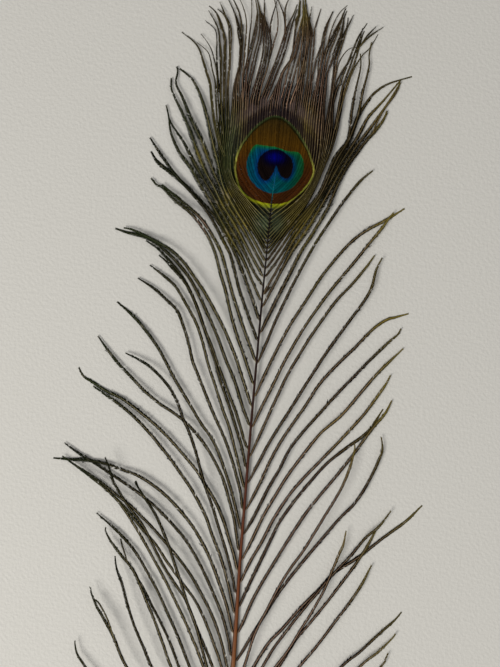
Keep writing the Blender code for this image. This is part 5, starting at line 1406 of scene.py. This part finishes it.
# The pale halo and the dark arc above the ring: (colour, the depths over which it fades in
# from its inside and from its outside, how strong it grows up the feather).
ARCS = (
    (colour(100, 84, 80), (-4.0, -6.5), (-12.0, -8.5), (0.388, 0.398, 0.0, 0.55)),
    (colour(38, 30, 32), (0.0, -0.5), (-6.2, -3.0), (0.374, 0.392, 0.0, 0.82)),
)
# How far the edges between the colours stray, and how sharp they are, in millimetres, and the
# scale of the noise that they stray by.
STRAY = 0.4
SHARP = 0.2
STRAY_SCALE = 900.0


def eye_surround(look, base, depth, y):
    """The barbs round the eyespot, with a dark arc over the ring and a pale halo over that."""
    for shade, inner, outer, growth in ARCS:
        band = look.times(look.level(depth, *inner), look.level(depth, *outer))
        base = look.mix(look.times(band, look.level(y, *growth)), base, shade)
    return base


def ring_colours(look, depth, stray, y):
    """The yellow-green ring, dark along its inside where it is thin."""
    ring = look.ramp(
        look.level(y, *RING_SPAN), (0.0, 124, 140, 44), (0.07, 150, 152, 22), (0.16, 112, 118, 36),
        (0.45, 150, 146, 62), (0.75, 70, 80, 44), (1.0, 50, 62, 34),
    )
    thin = look.times(look.level(look.plus(depth, stray), *RING_INNER), look.level(y, *RING_FOOT_SPAN))
    return look.mix(thin, ring, RING_DARK)


def blue_colours(look, x, y):
    """The blue-green field, bluer round the pupil and green along its upper rim."""
    blue = look.ramp(
        look.level(x, *BLUE_SPAN), (0.0, 0, 76, 86), (0.25, 0, 72, 104), (0.5, 0, 82, 92),
        (0.75, 0, 72, 66), (1.0, 16, 74, 34),
    )
    near = look.level(look.value("pupil"), -2.4, -0.2)
    blue = look.mix(look.times(near, 0.8), blue, PUPIL_GLOW)
    rim = look.times(look.level(look.value("blue"), 2.4, 0.2), look.level(y, *BLUE_TOP_SPAN))
    return look.mix(rim, blue, BLUE_RIM)


def eye_material():
    """The web's barbs, with the eyespot's nested colours laid over those inside the ring."""
    look = Look("eye_web")
    place = look.add("SeparateXYZ", {0: look.place()})
    x, y = place.outputs["X"], place.outputs["Y"]
    stray = look.level(look.noise(look.place(), STRAY_SCALE), 0.0, 1.0, -STRAY, STRAY)
    tone = look.value("tone")
    depth = look.value("ring")

    def inside(zone, shift=0.0):
        edge = look.plus(look.plus(look.value(zone), stray), shift)
        return look.level(edge, -SHARP, SHARP)

    bronze = look.ramp(look.level(y, *BRONZE_SPAN), (0.0, 64, 34, 11), (0.4, 68, 36, 10),
                       (0.7, 82, 55, 9), (1.0, 52, 40, 14))
    pupil = look.ramp(look.value("navy"), (0.1, 18, 10, 9), (0.4, 8, 4, 24), (0.65, 1, 1, 56),
                      (1.0, 1, 1, 104))
    eye = ring_colours(look, depth, stray, y)
    eye = look.mix(inside("bronze", look.level(y, *BRONZE_TOP_SPAN, 0.36, -0.2)), eye, bronze)
    eye = look.mix(inside("blue"), eye, blue_colours(look, x, y))
    eye = look.mix(inside("pupil"), eye, pupil)
    light = look.times(look.level(tone, 0.0, 1.0, 0.74, 1.28),
                       look.level(look.value("seed"), 0.0, 1.0, 0.72, 1.25))
    # Darker toward the barbs' edges: painted shade between the barbs.
    light = look.times(light, look.level(look.value("across"), 0.35, 1.0, 1.1, 0.6))
    eye = look.lit(eye, light)
    softness = look.level(y, *SOFT_SPAN, 0.4, 2.0)
    zone = look.maths("DIVIDE", look.plus(depth, stray), softness)
    base = barb_colours(look, WEB_DARK, *BARB_LOOKS["eye_web"])
    base = look.mix(look.level(zone, -0.5, 0.5), eye_surround(look, base, depth, y), eye)
    rough = look.level(tone, 0.0, 1.0, 0.55, 0.4)
    return look.finish(base, Roughness=rough, Normal=barbule_bump(look), Specular_IOR_Level=0.03)


# Between which places along the shaft, in metres, its colours run and its sides grow dark, and
# how fine its grain is across it, along it and upward.
SHAFT_SPAN = (-0.04, 0.372)
SHAFT_SIDE_SPAN = (0.06, 0.12)
SHAFT_SIDE = colour(28, 10, 6)
GRAIN_SCALE = (900.0, 30.0, 900.0)


def shaft_material():
    """Keratin: pale at the quill, brown along the shaft, dark above and blue in the eyespot."""
    look = Look("shaft")
    y = look.add("SeparateXYZ", {0: look.place()}).outputs["Y"]
    fine = look.noise(look.add("Mapping", {0: look.place(), 3: GRAIN_SCALE}).outputs[0], 1.0, 4.0)
    base = look.ramp(
        look.level(y, *SHAFT_SPAN), (0.0, 214, 196, 164), (0.16, 208, 182, 144), (0.3, 176, 134, 92),
        (0.4, 138, 84, 44), (0.49, 112, 58, 24), (0.58, 100, 50, 28), (0.7, 50, 21, 11),
        (0.8, 32, 13, 6), (0.94, 14, 10, 4), (0.955, 8, 26, 26), (0.966, 0, 112, 112),
        (0.982, 0, 88, 140), (1.0, 10, 56, 184),
    )
    base = look.lit(base, look.level(fine, 0.3, 0.7, 0.78, 1.18))
    side = look.times(look.level(look.value("across"), 0.45, 0.85),
                      look.level(y, *SHAFT_SIDE_SPAN, 0.0, 0.75))
    base = look.mix(side, base, SHAFT_SIDE)
    rough = look.level(fine, 0.0, 1.0, 0.35, 0.55)
    return look.finish(base, Roughness=rough, Normal=look.bump(fine, 0.3, 0.0001), Specular_IOR_Level=0.2)


def floor_material():
    look = Look("paper")
    lumps = look.noise(look.place(), 620.0, 3.0)
    base = look.ramp(lumps, (0.3, 226, 223, 215), (0.7, 230, 227, 219))
    return look.finish(base, Roughness=0.9, Normal=look.bump(lumps, 0.6, 0.0005), Specular_IOR_Level=0.1)


# ------------------------------------------------------- room and camera
# The photograph: its size in pixels, the place on the feather at its middle, how far it leans
# in degrees, and its scale, which holds at a height over the floor.
PICTURE_SIZE = (500, 667)
PICTURE_MIDDLE = (-4.95, 286.9)
PICTURE_LEAN = 4.6
MM_PER_PIXEL = 0.5
PLANE_HEIGHT = 3.0
LENS = 50.0
SENSOR = 36.0
# The room, in metres, with its window's power in watts.
FLOOR_HALF = 3.0
ROOM_COLOUR = (0.98, 0.985, 1.0, 1.0)
ROOM_STRENGTH = 0.34
WINDOW_COLOUR = (1.0, 0.985, 0.955)
WINDOW_DIRECTION = (-0.5, -0.54, 0.66)
WINDOW_DISTANCE = 1.65
WINDOW_SIZE = 0.8
WINDOW_POWER = 17.0
NEAREST_SEEN = 0.01


def add_floor():
    """A plain pale floor, level with the feather's underside."""
    corners = [(-FLOOR_HALF, -FLOOR_HALF, 0), (FLOOR_HALF, -FLOOR_HALF, 0),
               (FLOOR_HALF, FLOOR_HALF, 0), (-FLOOR_HALF, FLOOR_HALF, 0)]
    mesh = bpy.data.meshes.new("floor")
    mesh.from_pydata(corners, [], [(0, 1, 2, 3)])
    mesh.materials.append(floor_material())
    floor = placed("floor", mesh)


def add_light():
    """A soft window to the lower left, rather near, and a pale room all round."""
    world = bpy.data.worlds.new("studio")
    world.use_nodes = True
    sky = world.node_tree.nodes["Background"]
    sky.inputs["Color"].default_value = ROOM_COLOUR
    sky.inputs["Strength"].default_value = ROOM_STRENGTH
    bpy.context.scene.world = world
    window = bpy.data.lights.new("window", "AREA")
    window.shape = "DISK"
    window.size = WINDOW_SIZE
    window.energy = WINDOW_POWER
    window.color = WINDOW_COLOUR
    lamp = placed("window", window)
    middle = np.array((*PICTURE_MIDDLE, 0.0)) * MM
    toward = np.array(WINDOW_DIRECTION) / np.linalg.norm(WINDOW_DIRECTION)
    lamp.location = middle + toward * WINDOW_DISTANCE
    x, y, z = WINDOW_DIRECTION
    lamp.rotation_euler = (math.atan2(math.hypot(x, y), z), 0.0, math.atan2(x, -y))
    bpy.context.scene.view_settings.view_transform = "Standard"


def add_camera():
    """The photograph's own view: straight down, with the feather leaning to the right."""
    data = bpy.data.cameras.new("camera")
    data.lens = LENS
    data.sensor_width = SENSOR
    data.clip_start = NEAREST_SEEN
    camera = placed("camera", data)
    distance = max(PICTURE_SIZE) * MM_PER_PIXEL * LENS / SENSOR
    x, y = PICTURE_MIDDLE
    camera.location = (x * MM, y * MM, (distance + PLANE_HEIGHT) * MM)
    camera.rotation_euler = (0.0, 0.0, math.radians(PICTURE_LEAN))
    bpy.context.scene.camera = camera


# ------------------------------------------------------------ the feather
SEEDS = {"left": 11, "right": 12, "strands": 13, "crest": 14}


def add_feather():
    """All pieces of the feather, with random draws of their own for each table."""
    laid = table_courses()
    draws = {name: np.random.default_rng(seed) for name, seed in SEEDS.items()}
    left, right, eye, crest = (Pile() for _ in range(4))
    add_side(left, laid["left"], draws["left"])
    add_side(right, laid["right"], draws["right"])
    for width, _, course in laid["strands"]:
        add_barb(left, course, LOOSE, tapering(width * LOOSE_SHARE), draws["strands"])
    add_web(eye, crest, laid["crest"], draws["crest"])
    add_shaft(shaft_material())
    left.piece("left_barbs", barb_material("left_barbs"))
    right.piece("right_barbs", barb_material("right_barbs"))
    eye.piece("eye_web", eye_material(), EYE_ZONES)
    crest.piece("crest", barb_material("crest_barbs"))


add_floor()
add_light()
add_camera()
add_feather()
